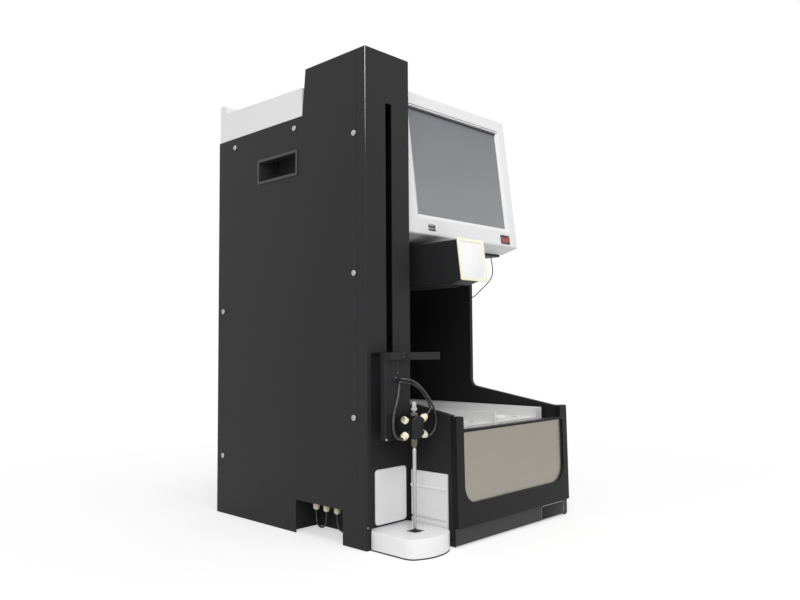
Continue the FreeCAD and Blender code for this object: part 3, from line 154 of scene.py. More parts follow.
def powder_coat(name, colour, roughness=0.46, grain=0.9 * mm, depth=0.05 * mm, gloss=0.22):
    """Textured powder coat: a fine orange-peel grain and a slight change of sheen over it."""
    coat = Finish(name)
    peel = coat.noise(grain, detail=3.0)
    wide = coat.noise(0.12, detail=2.0)
    tone = coat.mix(peel * 0.7 + wide * 0.3, tinted(colour, 0.8), tinted(colour, 1.2))
    return coat.surface(Base_Color=tone,
                        Roughness=roughness + (wide - 0.5) * 0.14 + (peel - 0.5) * 0.2,
                        Normal=coat.bump(peel, depth, 0.6), Specular_IOR_Level=gloss)


def moulding(name, colour, roughness=0.4, grain=0.5 * mm, depth=0.015 * mm, coat_weight=0.0,
             gloss=0.5):
    """Moulded plastic: a fine spark-eroded grain and a faint uneven tone."""
    plastic = Finish(name)
    fine = plastic.noise(grain, detail=2.0)
    wide = plastic.noise(0.09, detail=3.0)
    tone = plastic.mix(wide * 0.6 + fine * 0.4, tinted(colour, 0.95), tinted(colour, 1.04))
    return plastic.surface(Base_Color=tone,
                           Roughness=roughness + (wide - 0.5) * 0.1 + (fine - 0.5) * 0.1,
                           Normal=plastic.bump(fine, depth, 0.5), Coat_Weight=coat_weight,
                           Specular_IOR_Level=gloss)


def brushed_metal(name, colour, roughness=0.34, along="X", depth=0.02 * mm):
    """Sheet or bar metal with fine scratches that run along one axis."""
    stretch = {"X": (0.02, 1, 1), "Y": (1, 0.02, 1), "Z": (1, 1, 0.02)}[along]
    metal = Finish(name)
    streaks = metal.noise(0.5 * mm, detail=4.0, stretch=stretch, roughness=0.7)
    wide = metal.noise(0.05, detail=2.0)
    tone = metal.mix(streaks * 0.8 + wide * 0.2, tinted(colour, 0.82), tinted(colour, 1.14))
    return metal.surface(Base_Color=tone, Metallic=1.0,
                         Roughness=roughness + (streaks - 0.5) * 0.22 + (wide - 0.5) * 0.08,
                         Normal=metal.bump(streaks, depth, 0.5))


def polished_metal(name, colour, roughness=0.16):
    """Turned bright metal with faint rings of tool marks and a little handling haze."""
    metal = Finish(name)
    marks = metal.noise(0.4 * mm, detail=2.0)
    haze = metal.noise(8 * mm, detail=3.0)
    return metal.surface(Base_Color=metal.mix(haze, tinted(colour, 0.9), colour), Metallic=1.0,
                         Roughness=roughness + haze * 0.1 + marks * 0.06,
                         Normal=metal.bump(marks, 0.004 * mm))


def screen_finish(name):
    """The display's anti-glare front: a grey panel under a matt film, with painted shade that makes
    it darker and bluer towards its head.
    """
    screen_foot = 0.46
    glass = Finish(name)
    film = glass.noise(0.25 * mm, detail=1.0)
    smear = glass.noise(0.07, detail=3.0)
    # Painted shade: the screen's colour grows darker and bluer above its foot.
    rise = (glass.height() - screen_foot) * 6.0
    tone = glass.mix(rise + (smear - 0.5) * 0.2, (0.205, 0.208, 0.215), (0.135, 0.140, 0.155))
    return glass.surface(Base_Color=tone, Roughness=0.3 + film * 0.1 + (smear - 0.5) * 0.08,
                         Normal=glass.bump(film, 0.004 * mm, 0.4), IOR=1.52)


def clear_moulding(name, smoked, clear):
    """Clear moulded plastic with a faint cloud in it, smoked below the column's cup."""
    cup_foot = 0.177
    plastic = Finish(name)
    cloud = plastic.noise(3 * mm, detail=2.0)
    rise = (plastic.height() - cup_foot) * 200
    rise = rise.math("MAXIMUM", rise.math("MINIMUM", rise, 1.0), 0.0)
    return plastic.surface(Base_Color=plastic.mix(rise, smoked, clear),
                           Roughness=0.12 + cloud * 0.1,
                           Alpha=0.55 + rise * 0.15 + cloud * 0.2)


def hose_finish(name, colour):
    """Smooth polymer hose: nearly polished, with faint drawing lines."""
    hose = Finish(name)
    lines = hose.noise(1.2 * mm, detail=2.0)
    return hose.surface(Base_Color=hose.mix(lines, tinted(colour, 0.85), tinted(colour, 1.15)),
                        Roughness=0.2 + lines * 0.12, Normal=hose.bump(lines, 0.01 * mm, 0.3))


def board_finish(name):
    """Green solder mask with the faint pattern of its copper underneath."""
    board = Finish(name)
    tracks = board.noise(2 * mm, detail=1.0, stretch=(1, 1, 0.2))
    return board.surface(Base_Color=board.mix(tracks, (0.015, 0.09, 0.04), (0.04, 0.16, 0.07)),
                         Roughness=0.3 + tracks * 0.15, Normal=board.bump(tracks, 0.02 * mm))


finishes = {
    "black_powder": powder_coat("black_powder_coat", (0.0190, 0.0185, 0.0200), gloss=0.16),
    "frame_black": powder_coat("satin_black_coat", (0.0095, 0.0090, 0.0100), roughness=0.38,
                               grain=1.2 * mm, depth=0.02 * mm, gloss=0.14),
    "kick_grey": powder_coat("dark_grey_coat", (0.036, 0.036, 0.037)),
    "white_moulding": moulding("white_moulding", (0.68, 0.68, 0.682), roughness=0.44),
    "splash_white": moulding("white_splash_moulding", (0.74, 0.74, 0.745), roughness=0.28),
    "rack_white": moulding("white_rack_moulding", (0.72, 0.72, 0.715), roughness=0.36),
    "ivory": moulding("ivory_moulding", (0.80, 0.74, 0.57), roughness=0.32, grain=0.8 * mm),
    "pale_ivory": moulding("pale_ivory_moulding", (0.80, 0.77, 0.62), roughness=0.4),
    "inset_white": moulding("plain_white_sheet", (0.77, 0.77, 0.775), roughness=0.38),
    "stainless": brushed_metal("brushed_stainless", (0.36, 0.335, 0.290)),
    "bright_steel": polished_metal("bright_steel", (0.50, 0.49, 0.48)),
    "zinc_steel": brushed_metal("zinc_plated_steel", (0.52, 0.52, 0.51), roughness=0.42, along="Z"),
    "aluminium": brushed_metal("anodised_aluminium", (0.6, 0.61, 0.62), roughness=0.38, along="Z"),
    "screen_glass": screen_finish("screen_front"),
    "black_plastic": moulding("black_grained_plastic", (0.030, 0.030, 0.032), roughness=0.34,
                              gloss=0.45),
    "valve_black": moulding("black_machined_polymer", (0.0105, 0.011, 0.012), roughness=0.34,
                            gloss=0.2),
    "red_plastic": moulding("red_rocker_plastic", (0.29, 0.055, 0.035), roughness=0.25,
                            coat_weight=0.3),
    "clear_plastic": clear_moulding("clear_moulding", (0.17, 0.165, 0.11), (0.5, 0.5, 0.495)),
    "hose_black": hose_finish("black_hose", (0.02, 0.02, 0.022)),
    "feet_rubber": moulding("rubber", (0.025, 0.025, 0.025), roughness=0.7, grain=1.0 * mm,
                            depth=0.03 * mm),
    "board_green": board_finish("circuit_board"),
}


for subpart in frame["record"]["subparts"]:
    node_materials = frame["nodes"][subpart["node"]].data.materials
    node_materials.clear()
    node_materials.append(finishes[subpart["material_slot"]])


# Modelling helpers
def add(kind, name, location=(0, 0, 0), rotation=(0, 0, 0), **sizes):
    """Add one primitive and leave it as the only selected object, its place in its mesh."""
    bpy.ops.object.select_all(action="DESELECT")
    getattr(bpy.ops.mesh, f"primitive_{kind}_add")(location=location, rotation=rotation, **sizes)
    piece = bpy.context.active_object
    piece.name = name
    piece.data.name = name
    bpy.ops.object.transform_apply(location=True, rotation=True, scale=True)
    return piece


def pick(piece, wanted):
    """Enter edit mode with only the faces selected that wanted(centre, normal) accepts."""
    bpy.ops.object.mode_set(mode="EDIT")
    bpy.ops.mesh.select_mode(type="FACE")
    bpy.ops.mesh.select_all(action="DESELECT")
    bpy.ops.object.mode_set(mode="OBJECT")
    for face in piece.data.polygons:
        face.select = wanted(face.center, face.normal)
    bpy.ops.object.mode_set(mode="EDIT")


def leave_edit():
    bpy.ops.object.mode_set(mode="OBJECT")


def push(distance):
    """Extrude the picked faces by a vector."""
    bpy.ops.mesh.extrude_region_move(TRANSFORM_OT_translate={"value": distance})


def soften(piece, width, segments=2, angle=30):
    """Bevel a piece's sharp edges and shade it smooth between them."""
    bevel = piece.modifiers.new("edges", "BEVEL")
    bevel.width = width
    bevel.segments = segments
    bevel.limit_method = "ANGLE"
    bevel.angle_limit = math.radians(angle)
    bpy.context.view_layer.objects.active = piece
    piece.select_set(True)
    bpy.ops.object.modifier_apply(modifier=bevel.name)
    bpy.ops.object.shade_smooth_by_angle(angle=smooth_angle)


def cut(piece, cutter, operation="DIFFERENCE"):
    """Take a cutter's shape out of a piece, or keep what they share, and delete the cutter."""
    boolean = piece.modifiers.new("recess", "BOOLEAN")
    boolean.object = cutter
    boolean.operation = operation
    boolean.solver = "EXACT"
    bpy.context.view_layer.objects.active = piece
    bpy.ops.object.modifier_apply(modifier=boolean.name)
    bpy.data.objects.remove(cutter, do_unlink=True)


def copied(piece, name, move):
    """A copy of a piece with its own mesh, moved by a matrix."""
    twin = piece.copy()
    twin.data = piece.data.copy()
    twin.name = name
    twin.data.name = name
    bpy.context.collection.objects.link(twin)
    twin.data.transform(move)
    return twin


def settle(piece, slot, body):
    """Finish a piece: its material, the slot that it takes it from and the body that carries it."""
    piece.data.materials.clear()
    piece.data.materials.append(finishes[slot])
    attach(piece, body)


def facing(point, direction):
    """The matrix that takes a piece made at the origin along +Z to a point, along a direction."""
    turn = Vector(direction).to_track_quat("Z", "Y").to_matrix().to_4x4()
    return Matrix.Translation(point) @ turn


# Screws
def pan_head_screw(name, radius, height):
    """A domed head with a cross recess, standing on z = 0 along +Z."""
    head = add("cylinder", name, (0, 0, height * 0.3), vertices=32, radius=radius,
               depth=height * 0.6)
    pick(head, lambda centre, normal: normal.z > 0.9)
    for step in (0.82, 0.78):
        push((0, 0, height * 0.2))
        bpy.ops.transform.resize(value=(step, step, 1), center_override=(0, 0, 0))
    leave_edit()
    for turn in (0, math.pi / 2):
        slot = add("cube", "recess", (0, 0, height), (0, 0, turn), size=1,
                   scale=(radius, radius * 0.2, height * 0.9))
        cut(head, slot)
    soften(head, radius * 0.04, 1, 40)
    return head


skin_left = corners("left_side_panel")[0].x
skin_right = corners("right_side_panel")[1].x
tower_front = corners("tower_cover")[0].y
# Each side screw's depth behind the tower's front and its height, in millimetres
screw_places_left = ((151.8, 585.1), (304.9, 584.9), (22.4, 552.1), (22.9, 362.2), (23.8, 170.0),
                     (335.9, 321.2), (334.1, 90.8))
screw_places_right = ((154.8, 587.0), (308.0, 587.0), (339.5, 321.9), (338.0, 90.5), (13.4, 160.0))


def side_screws():
    """The pan-head screws of the two sides."""
    pattern = pan_head_screw("side_screw", 4.1 * mm, 1.9 * mm)
    for hand, side, skin, places in (("left", -1, skin_left, screw_places_left),
                                     ("right", 1, skin_right, screw_places_right)):
        for number, (depth, height) in enumerate(places, 1):
            point = Vector((skin, tower_front + depth * mm, height * mm))
            screw = copied(pattern, f"{hand}_side_screw_{number}", facing(point, (side, 0, 0)))
            settle(screw, "bright_steel", "chassis")
    bpy.data.objects.remove(pattern, do_unlink=True)


# Hoses, tubes and the display's lead
def smooth_run(name, routes, diameter, body, node):
    """Round hoses on smooth curves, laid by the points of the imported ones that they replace."""
    curve = bpy.data.curves.new(name, "CURVE")
    curve.dimensions = "3D"
    curve.bevel_depth = diameter * mm / 2
    curve.bevel_resolution = 5
    curve.resolution_u = 12
    curve.use_fill_caps = True
    for route in routes:
        spline = curve.splines.new("NURBS")
        spline.points.add(len(route) - 1)
        for point, spot in zip(spline.points, route):
            point.co = (*place(*spot), 1)
        spline.order_u = 3
        spline.use_endpoint_u = True
    piece = bpy.data.objects.new(name, curve)
    bpy.context.collection.objects.link(piece)
    settle(piece, "hose_black", body)
    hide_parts(node)


def nut_end(angle, reach):
    """A point on a port's axis, by the port's angle and how far out it lies, in millimetres."""
    turn = math.radians(angle)
    return valve_x + reach * math.cos(turn), port_plane, valve_z + reach * math.sin(turn)


def lay_hoses():
    """The valve's three hoses, the two tubes under the port shelf and the display's lead."""
    hose_diameter, lead_diameter = 3.2, 1.6
    outer = [(41.5, -17, 221), (43, -23, 221), (54.3, -31, 219.3), (61.2, -39, 211.4),
             (70.4, -43, 199.2), (76, -45, 189.7), (81.8, -46, 180.1), (85.2, -46, 167.8),
             (84.6, -46, 158), (80.5, -45, 149.5), (75, -43.8, 145.2), nut_end(330, 28),
             nut_end(330, 25)]
    inner = [(40.5, -17, 217), (43, -22.5, 216.5), (57.4, -28, 214.5), (65.5, -35, 207.1),
             (70.9, -39, 197.7), (75.4, -42, 188.2), (77.6, -43, 180.2), nut_end(30, 31.8),
             nut_end(30, 25)]
    left = [(37.5, -17, 219.8), (37.5, -23.5, 218.5), (30.4, -30, 209.8), (23.5, -35, 199),
            (16.3, -39, 190.5), (10.6, -41, 181.3), (6.2, -43, 171.7), (5.6, -43.5, 161.5),
            (7.5, -43.5, 152.5), (13, -43.2, 147), nut_end(210, 28), nut_end(210, 25)]
    smooth_run("round_valve_hoses", (outer, inner, left), hose_diameter, "carriage", "valve_hoses")
    near, middle, far = port_depths
    loop = [(port_x, far, 32.5), (port_x, far, 18.5), (21, 123.5, 12.6), (21, 118.5, 9.6),
            (21, 113, 9.6), (21, 108, 12.6), (port_x, middle, 18.5), (port_x, middle, 32.5)]
    away = [(port_x, near, 32.5), (port_x, near, 20.5), (port_x, 78.5, 12.6), (port_x, 70.5, 9.6),
            (port_x, 50.5, 11.6), (port_x, 45.3, 11.6)]
    smooth_run("round_port_tubes", (loop, away), hose_diameter, "chassis", "bulkhead_tubes")
    lead_x, display_floor = 356.5, 417
    lead = [(lead_x, y, display_floor - drop) for y, drop in
            ((63.5, 0), (63.5, 5), (62, 13), (60.4, 21), (60.6, 31), (64.4, 39.5), (73, 47.5),
             (84, 55.5), (94, 63), (104, 69.5), (108.6, 69.5))]
    smooth_run("round_display_lead", (lead,), lead_diameter, "chassis", "display_lead")


def knurled_nut(name, radius, length, nose):
    """A finger-tight nut along +Z from the origin: a ribbed grip and a smooth tapered nose."""
    sides = 40
    nut = add("cylinder", name, (0, 0, length / 2), vertices=sides, radius=radius * 0.93,
              depth=length)
    pick(nut, lambda centre, normal: abs(normal.z) < 0.1 and
         int(math.degrees(math.atan2(normal.y, normal.x)) % 360 / (360 / sides)) % 2 == 0)
    bpy.ops.mesh.extrude_region_shrink_fatten(TRANSFORM_OT_shrink_fatten={"value": radius * 0.09})
    leave_edit()
    pick(nut, lambda centre, normal: normal.z > 0.9)
    bpy.ops.mesh.inset(thickness=radius * 0.25)
    push((0, 0, nose * 0.3))
    bpy.ops.transform.resize(value=(0.9, 0.9, 1), center_override=(0, 0, 0))
    push((0, 0, nose * 0.7))
    leave_edit()
    soften(nut, radius * 0.03, 1, 40)
    return nut


def fit_nuts():
    """The valve's four nuts and the three of the port recess, with their ribbed grips."""
    pattern = knurled_nut("finger_nut", 4.7 * mm, 6 * mm, 3 * mm)
    blank = knurled_nut("blank_nut", 4.4 * mm, 5.4 * mm, 0.6 * mm)
    boss_reach, nut_reach, blank_port = 17.5, 26.5, 150
    nuts = []
    for angle in (30, blank_port, 210, 330):
        start, end = place(*nut_end(angle, boss_reach)), place(*nut_end(angle, nut_reach))
        source = blank if angle == blank_port else pattern
        nuts.append(copied(source, f"finger_nut_{angle}", facing(start, end - start)))
    joined(nuts, "finger_nuts", "ivory", "carriage", "port_nuts")
    bpy.data.objects.remove(pattern, do_unlink=True)
    bpy.data.objects.remove(blank, do_unlink=True)
    pattern = knurled_nut("bulkhead_nut", 4.4 * mm, 12.5 * mm, 1.5 * mm)
    nuts = []
    thickness = 1.5
    for depth in port_depths:
        nuts.append(copied(pattern, f"bulkhead_nut_{depth:.0f}",
                           facing(place(port_x, depth, port_shelf - thickness), (0, 0, -1))))
        washer = add("cylinder", "washer", place(port_x, depth, port_shelf - thickness / 2),
                     vertices=48, radius=5.3 * mm, depth=thickness * mm)
        soften(washer, 0.3 * mm)
        nuts.append(washer)
    joined(nuts, "bulkhead_nuts", "ivory", "chassis", "bulkhead_fittings")
    bpy.data.objects.remove(pattern, do_unlink=True)


def drain_fitting():
    """The drain under the valve: a clear flange and ribbed nut, and a bright tapered needle."""
    top, flange_depth = 144, 3.5
    flange = add("cylinder", "drain_flange", place(valve_x, port_plane, top - flange_depth / 2),
                 vertices=48, radius=4.7 * mm, depth=flange_depth * mm)
    soften(flange, 0.5 * mm)
    settle(flange, "clear_plastic", "carriage")
    nut = knurled_nut("drain_nut", 3.9 * mm, 5.5 * mm, 3 * mm)
    nut.data.transform(facing(place(valve_x, port_plane, top - flange_depth), (0, 0, -1)))
    settle(nut, "clear_plastic", "carriage")
    foot, tip, shoulder = 27.8, 2, 130.5
    axis = place(valve_x, port_plane, 0)
    middle = place(valve_x, port_plane, (foot + tip + shoulder) / 2)
    needle = add("cone", "drain_needle_rod", middle, vertices=48, radius1=2.2 * mm,
                 radius2=3.1 * mm, depth=(shoulder - foot - tip) * mm)
    for direction, distance, step in ((1, 0.8, 0.75), (1, 3.0, 1.0), (-1, tip, 0.55)):
        pick(needle, lambda centre, normal: normal.z * direction > 0.9)
        push((0, 0, direction * distance * mm))
        bpy.ops.transform.resize(value=(step, step, 1), center_override=axis)
        leave_edit()
    soften(needle, 0.25 * mm)
    settle(needle, "bright_steel", "carriage")
    for piece in (flange, nut, needle):
        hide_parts("drain_needle")


def joined(pieces, name, slot, body, node):
    """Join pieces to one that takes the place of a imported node."""
    bpy.ops.object.select_all(action="DESELECT")
    for piece in pieces:
        piece.select_set(True)
    bpy.context.view_layer.objects.active = pieces[0]
    bpy.ops.object.join()
    whole = bpy.context.active_object
    whole.name = name
    whole.data.name = name
    settle(whole, slot, body)
    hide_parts(node)


def block(name, x, y, z):
    """A box between two values on each axis, in millimetres as place() takes them."""
    low, high = place(x[0], y[0], z[0]), place(x[1], y[1], z[1])
    return add("cube", name, (low + high) / 2, size=1, scale=high - low)


def round_corners(piece, axis, radius, wanted=lambda middle: True):
    """Round the edges that run along an axis and whose middle is wanted."""
    bpy.ops.object.mode_set(mode="EDIT")
    bpy.ops.mesh.select_mode(type="EDGE")
    bpy.ops.mesh.select_all(action="DESELECT")
    bpy.ops.object.mode_set(mode="OBJECT")
    for edge in piece.data.edges:
        first, second = (piece.data.vertices[number].co for number in edge.vertices)
        along = (second - first).normalized()[axis]
        edge.select = abs(along) > 0.98 and wanted((first + second) / 2)
    bpy.ops.object.mode_set(mode="EDIT")
    bpy.ops.mesh.bevel(offset=radius * mm, segments=10)
    leave_edit()


def round_tray():
    """The drip tray: an arc across the front, a square drain, and a thin dark rubber strip in the
    gap beneath it that also paints that gap's shade.
    """
    foot, head, above = 1.5, 25.4, 30
    middle_x, middle_y, arc_radius = 46.25, -23.2, 59.6
    tray = add("cylinder", "round_tray", place(middle_x, middle_y, (foot + head) / 2),
               vertices=256, radius=arc_radius * mm, depth=(head - foot) * mm)
    keep = block("keep", (7, 84.4), (-82.5, 8), (0, above))
    front = place(0, -60, 0).y
    round_corners(keep, 2, 25, lambda middle: middle.y < front)
    cut(tray, keep, "INTERSECT")
    cut(tray, block("step", (0, 11), (-0.5, 10), (0, above)))
    # A thin dark rubber strip under the tray, which also stands for the shade in the gap beneath
    # it: partly painted shade.
    flat = Matrix.Translation((0, 0, 0.15 * mm)) @ Matrix.Diagonal((1, 1, 0.05, 1))
    settle(copied(tray, "tray_shade_strip", flat), "feet_rubber", "drip_tray")
    soften(tray, 1.1 * mm, 3)
    basin_floor = 12.5
    drain = block("drain", (38.8, 57.2), (-50.2, -31.8), (basin_floor - 0.5, above))
    round_corners(drain, 2, 1.5)
    cut(tray, drain)
    cut(tray, block("basin", (12, 80), (-64, 3), (basin_floor, head - 0.9)))
    cut(tray, block("channel", (22, 72), (-50, 10), (foot - 0.5, 9.5)))
    bpy.ops.object.shade_smooth_by_angle(angle=smooth_angle)
    settle(tray, "splash_white", "drip_tray")
    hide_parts("drip_tray")


def arm_end():
    """The collector's beam with its leaning end, and the framed end cover with a plain inset."""
    foot, head, front, left = 350, 412, -64.2, 121.5
    across, thickness, ramp_rear = (110, 190), 2.2, -44.6

    def leaning(name, x, y, z, degrees=7.2, hinge=front):
        """A block turned about a line across the beam's foot."""
        made = block(name, x, y, z)
        pivot = place(0, hinge, foot)
        turn = Matrix.Rotation(math.radians(-degrees), 4, "X")
        made.data.transform(Matrix.Translation(pivot) @ turn @ Matrix.Translation(-pivot))
        return made
    beam = block("round_arm", (left, 181), (front - 1.8, 249.9), (foot, head))
    round_corners(beam, 1, 3)
    cut(beam, leaning("end", across, (-90, front + thickness), (330, 440)))
    cut(beam, leaning("ramp", across, (-68, ramp_rear), (340, foot), 15, ramp_rear))
    cut(beam, block("notch", (161, 190), (-70, -8), (330, 386)))
    cut(beam, block("pocket", (143.5, 159), (ramp_rear, 224), (foot + 2, head - 3)))
    cut(beam, block("slot", (148.15, 154.35), (ramp_rear, 224), (foot - 1, foot + 3)))
    cut(beam, block("jaws", across, (237.9, 260), (foot + 21.9, foot + 42.1)))
    bpy.ops.object.shade_smooth_by_angle(angle=smooth_angle)
    settle(beam, "black_powder", "collector_arm")
    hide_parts("collector_arm")
    cover = leaning("framed_cover", (left, 180), (front, front + thickness), (354.8, 415))
    round_corners(cover, 1, 2.2)
    cut(cover, leaning("seat", (126.5, 175), (front - 1, front + 1.2), (359.8, 410)))
    soften(cover, 0.35 * mm)
    settle(cover, "pale_ivory", "collector_arm")
    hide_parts("arm_end_cover")
    inset = leaning("plain_inset", (126.6, 174.9), (front + 0.5, front + 1.2), (359.9, 409.9))
    soften(inset, 0.15 * mm)
    settle(inset, "inset_white", "collector_arm")
    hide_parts("arm_inset_panel")


def painted_corner_highlight():
    """A narrow bright line at the head of the tower's front corner: a painted highlight along the
    corner's bend.
    """
    inset, foot, head = 0.52, 522, 666
    line = add("cube", "painted_corner_highlight", place(inset, inset, (foot + head) / 2), (0, 0, -math.pi / 4),
               size=1, scale=(0.45 * mm, 0.12 * mm, (head - foot) * mm))
    pick(line, lambda centre, normal: normal.z < -0.9)
    bpy.ops.transform.resize(value=(0.1, 0.1, 1), center_override=place(inset, inset, 0))
    leave_edit()
    # The bright zinc strip is a painted highlight where the corner's bend catches the light.
    settle(line, "zinc_steel", "chassis")


def screen_painted_shade():
    """Painted shade on the screen's recess: a dark line and a dark band along its head, where the
    bevel faces down, and a dark line down its right.
    """
    foot_y, foot_z, lean = 10.5, 425.8, math.radians(7)
    tilt = (Matrix.Translation(place(0, foot_y, foot_z)) @ Matrix.Rotation(-lean, 4, "X")
            @ Matrix.Translation(-place(0, 0, 0)))
    line = ((118, 339.2), (-0.15, 0.6), (199.5, 200.3))
    band = ((121.5, 335.4), (1.4, 5.1), (194.1, 198))
    side = ((332.5, 333.9), (4.3, 5.2), (33, 194.2))
    for number, (x, y, z) in enumerate((line, band, side), 1):
        strip = block(f"screen_painted_shade_{number}", x, y, z)
        strip.data.transform(tilt)
        # Each dark strip is painted shade on the screen's recess.
        settle(strip, "black_plastic", "chassis")


def cheek_skirt():
    """The base sheet's turned-down edge under the bay's left cheek."""
    skirt = block("cheek_skirt", (90, 91.2), (-73.4, 7), (1.2, 9.1))
    soften(skirt, 0.3 * mm)
    settle(skirt, "black_powder", "chassis")


def small_screws():
    """The carriage's and the arm's screws, and those that hold the panels at the back."""
    tiny = pan_head_screw("tiny_screw", 1.7 * mm, 1.1 * mm)
    small = pan_head_screw("rear_screw", 3.2 * mm, 1.6 * mm)
    front, back = (0, -1, 0), (0, 1, 0)
    plate_front, bar_front, rear_skin, guard_rear = -17, -27.6, 348.9, 352

    def fasten(pattern, name, spots, depth, side, slot, body):
        for number, (x, z) in enumerate(spots, 1):
            screw = copied(pattern, f"{name}_{number}", facing(place(x, depth, z), side))
            settle(screw, slot, body)
    on_plate, on_bar = ((20, 142.5), (62, 145.5)), ((42, 249.8), (42, 254.2))
    fasten(tiny, "plate_screw", on_plate, plate_front, front, "bright_steel", "carriage")
    fasten(tiny, "bar_screw", on_bar, bar_front, front, "black_plastic", "carriage")
    # A small zinc head on the tower's front corner: partly a rivet, partly a painted highlight on
    # the corner's edge.
    foot_glint = facing(place(2.3, 0.2, 29.8), front) @ Matrix.Scale(0.6, 4)
    settle(copied(tiny, "tower_foot_glint", foot_glint), "zinc_steel", "chassis")
    edges = [(x, z) for x in (14, 180, 346) for z in (17, 583)] + [(x, 300) for x in (14, 346)]
    fasten(small, "rear_screw", edges, rear_skin, back, "zinc_steel", "chassis")
    corners_of_guard = [(x, z) for x in (207.5, 302.5) for z in (452.5, 547.5)]
    fasten(small, "guard_screw", corners_of_guard, guard_rear, back, "zinc_steel", "chassis")
    for pattern in (tiny, small):
        bpy.data.objects.remove(pattern, do_unlink=True)


def bare_plate():
    """The kick panel's thin plate, left bare, with a bright rim round it and a bright strip along
    the edge of the frame above: painted highlights where these edges catch the light.
    """
    face = -74.7
    plate = block("bare_plate", (289, 349), (face - 0.6, face), (3.3, 22.3))
    round_corners(plate, 1, 3)
    soften(plate, 0.2 * mm)
    settle(plate, "frame_black", "chassis")
    # The bright aluminium rim round the plate is a painted highlight on the plate's bevelled edge.
    rim = block("plate_rim_highlight", (288.5, 349.5), (face - 0.4, face), (2.8, 22.8))
    round_corners(rim, 1, 3.4)
    cut(rim, block("inside", (289.2, 348.8), (face - 1.3, face + 0.7), (3.5, 22.1)))
    settle(rim, "aluminium", "chassis")
    # The bright strip along the frame's lower edge is a painted highlight on that edge.
    edge = block("sheet_edge_highlight", (90.4, 359.6), (face - 0.3, face), (24.35, 24.6))
    settle(edge, "aluminium", "chassis")


def place_camera():
    """The camera at the photograph's viewpoint: its turn, rise, roll, focal length and place."""
    heading, rise, roll = math.radians(46.01), math.radians(3.36), math.radians(-0.39)
    focal_length, viewpoint = 33.76, (-0.8560, -0.84995, 0.26702)
    forward = Vector((math.sin(heading) * math.cos(rise), math.cos(heading) * math.cos(rise),
                      math.sin(rise)))
    right = Vector((math.cos(heading), -math.sin(heading), 0))
    up = right.cross(forward)
    level_right = math.cos(roll) * right + math.sin(roll) * up
    level_up = math.cos(roll) * up - math.sin(roll) * right
    data = bpy.data.cameras.new("camera")
    data.lens = focal_length
    data.sensor_width = 36
    camera = bpy.data.objects.new("camera", data)
    bpy.context.collection.objects.link(camera)
    turned = Matrix((level_right, level_up, -forward)).transposed().to_4x4()
    camera.matrix_world = Matrix.Translation(viewpoint) @ turned
    bpy.context.scene.camera = camera


def light(name, location, target, size, power):
    """A square lamp of a size in metres and a power in watts, turned to a target."""
    data = bpy.data.lights.new(name, "AREA")
    data.shape = "SQUARE"
    data.size = size
    data.energy = power
    lamp = bpy.data.objects.new(name, data)
    bpy.context.collection.objects.link(lamp)
    direction = Vector(target) - Vector(location)
    lamp.location = location
    lamp.rotation_euler = direction.to_track_quat("-Z", "Y").to_euler()


def white_seen(tree):
    """A factor that is 1 for camera, glossy and transmission rays."""
    path = tree.nodes.new("ShaderNodeLightPath")
    total = path.outputs["Is Camera Ray"]
    for ray in ("Is Glossy Ray", "Is Transmission Ray"):
        larger = tree.nodes.new("ShaderNodeMath")
        larger.operation = "MAXIMUM"
        tree.links.new(total, larger.inputs[0])
        tree.links.new(path.outputs[ray], larger.inputs[1])
        total = larger.outputs[0]
    return total


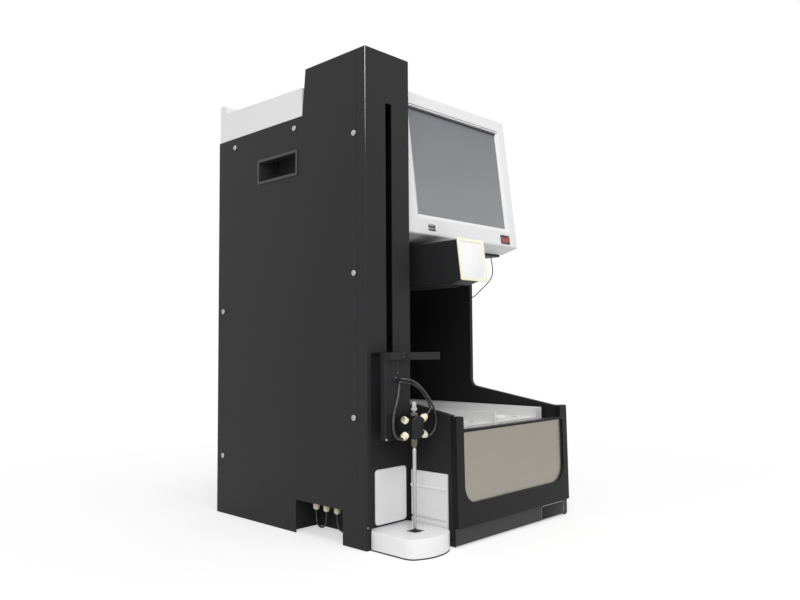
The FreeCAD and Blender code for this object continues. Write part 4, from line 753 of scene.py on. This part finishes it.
def light_world():
    """Soft light from all round, and pure white where it is seen or mirrored."""
    world = bpy.data.worlds.new("studio")
    world.use_nodes = True
    tree = world.node_tree
    tree.nodes.clear()
    seen = tree.nodes.new("ShaderNodeBackground")
    seen.inputs["Color"].default_value = (1, 1, 1, 1)
    lit = tree.nodes.new("ShaderNodeBackground")
    lit.inputs["Strength"].default_value = 0.62
    mixed = tree.nodes.new("ShaderNodeMixShader")
    output = tree.nodes.new("ShaderNodeOutputWorld")
    tree.links.new(white_seen(tree), mixed.inputs[0])
    tree.links.new(lit.outputs[0], mixed.inputs[1])
    tree.links.new(seen.outputs[0], mixed.inputs[2])
    tree.links.new(mixed.outputs[0], output.inputs["Surface"])
    bpy.context.scene.world = world


def lay_floor():
    """A pale bench top that keeps the machine's soft shadow and fades to pure white further out."""
    floor = add("plane", "bench_top", size=14)
    material = bpy.data.materials.new("pale_bench")
    material.use_nodes = True
    tree = material.node_tree
    tree.nodes.clear()
    matt = tree.nodes.new("ShaderNodeBsdfDiffuse")
    matt.inputs["Color"].default_value = (0.95, 0.95, 0.95, 1)
    glow = tree.nodes.new("ShaderNodeEmission")
    path = tree.nodes.new("ShaderNodeLightPath")
    spot = tree.nodes.new("ShaderNodeTexCoord")
    reach = tree.nodes.new("ShaderNodeVectorMath")
    reach.operation = "LENGTH"
    tree.links.new(spot.outputs["Object"], reach.inputs[0])
    fade = tree.nodes.new("ShaderNodeMapRange")
    for socket, value in (("From Min", 0.3), ("From Max", 1.1), ("To Min", 0.55), ("To Max", 1.0)):
        fade.inputs[socket].default_value = value
    tree.links.new(reach.outputs["Value"], fade.inputs["Value"])
    share = tree.nodes.new("ShaderNodeMath")
    share.operation = "MULTIPLY"
    tree.links.new(path.outputs["Is Camera Ray"], share.inputs[0])
    tree.links.new(fade.outputs["Result"], share.inputs[1])
    mixed = tree.nodes.new("ShaderNodeMixShader")
    tree.links.new(share.outputs[0], mixed.inputs[0])
    tree.links.new(matt.outputs[0], mixed.inputs[1])
    tree.links.new(glow.outputs[0], mixed.inputs[2])
    output = tree.nodes.new("ShaderNodeOutputMaterial")
    tree.links.new(mixed.outputs[0], output.inputs["Surface"])
    floor.data.materials.append(material)


side_screws()
lay_hoses()
fit_nuts()
drain_fitting()
round_tray()
arm_end()
screen_painted_shade()
painted_corner_highlight()
cheek_skirt()
small_screws()
bare_plate()
place_camera()
light("key", (-3.6, -3.5, 2.6), (0, 0, 0.35), 3.0, 128)
light("top", (-0.5, -1.4, 4.5), (0, 0, 0.3), 2.5, 105)
light_world()
lay_floor()
bpy.context.scene.view_settings.view_transform = "Standard"
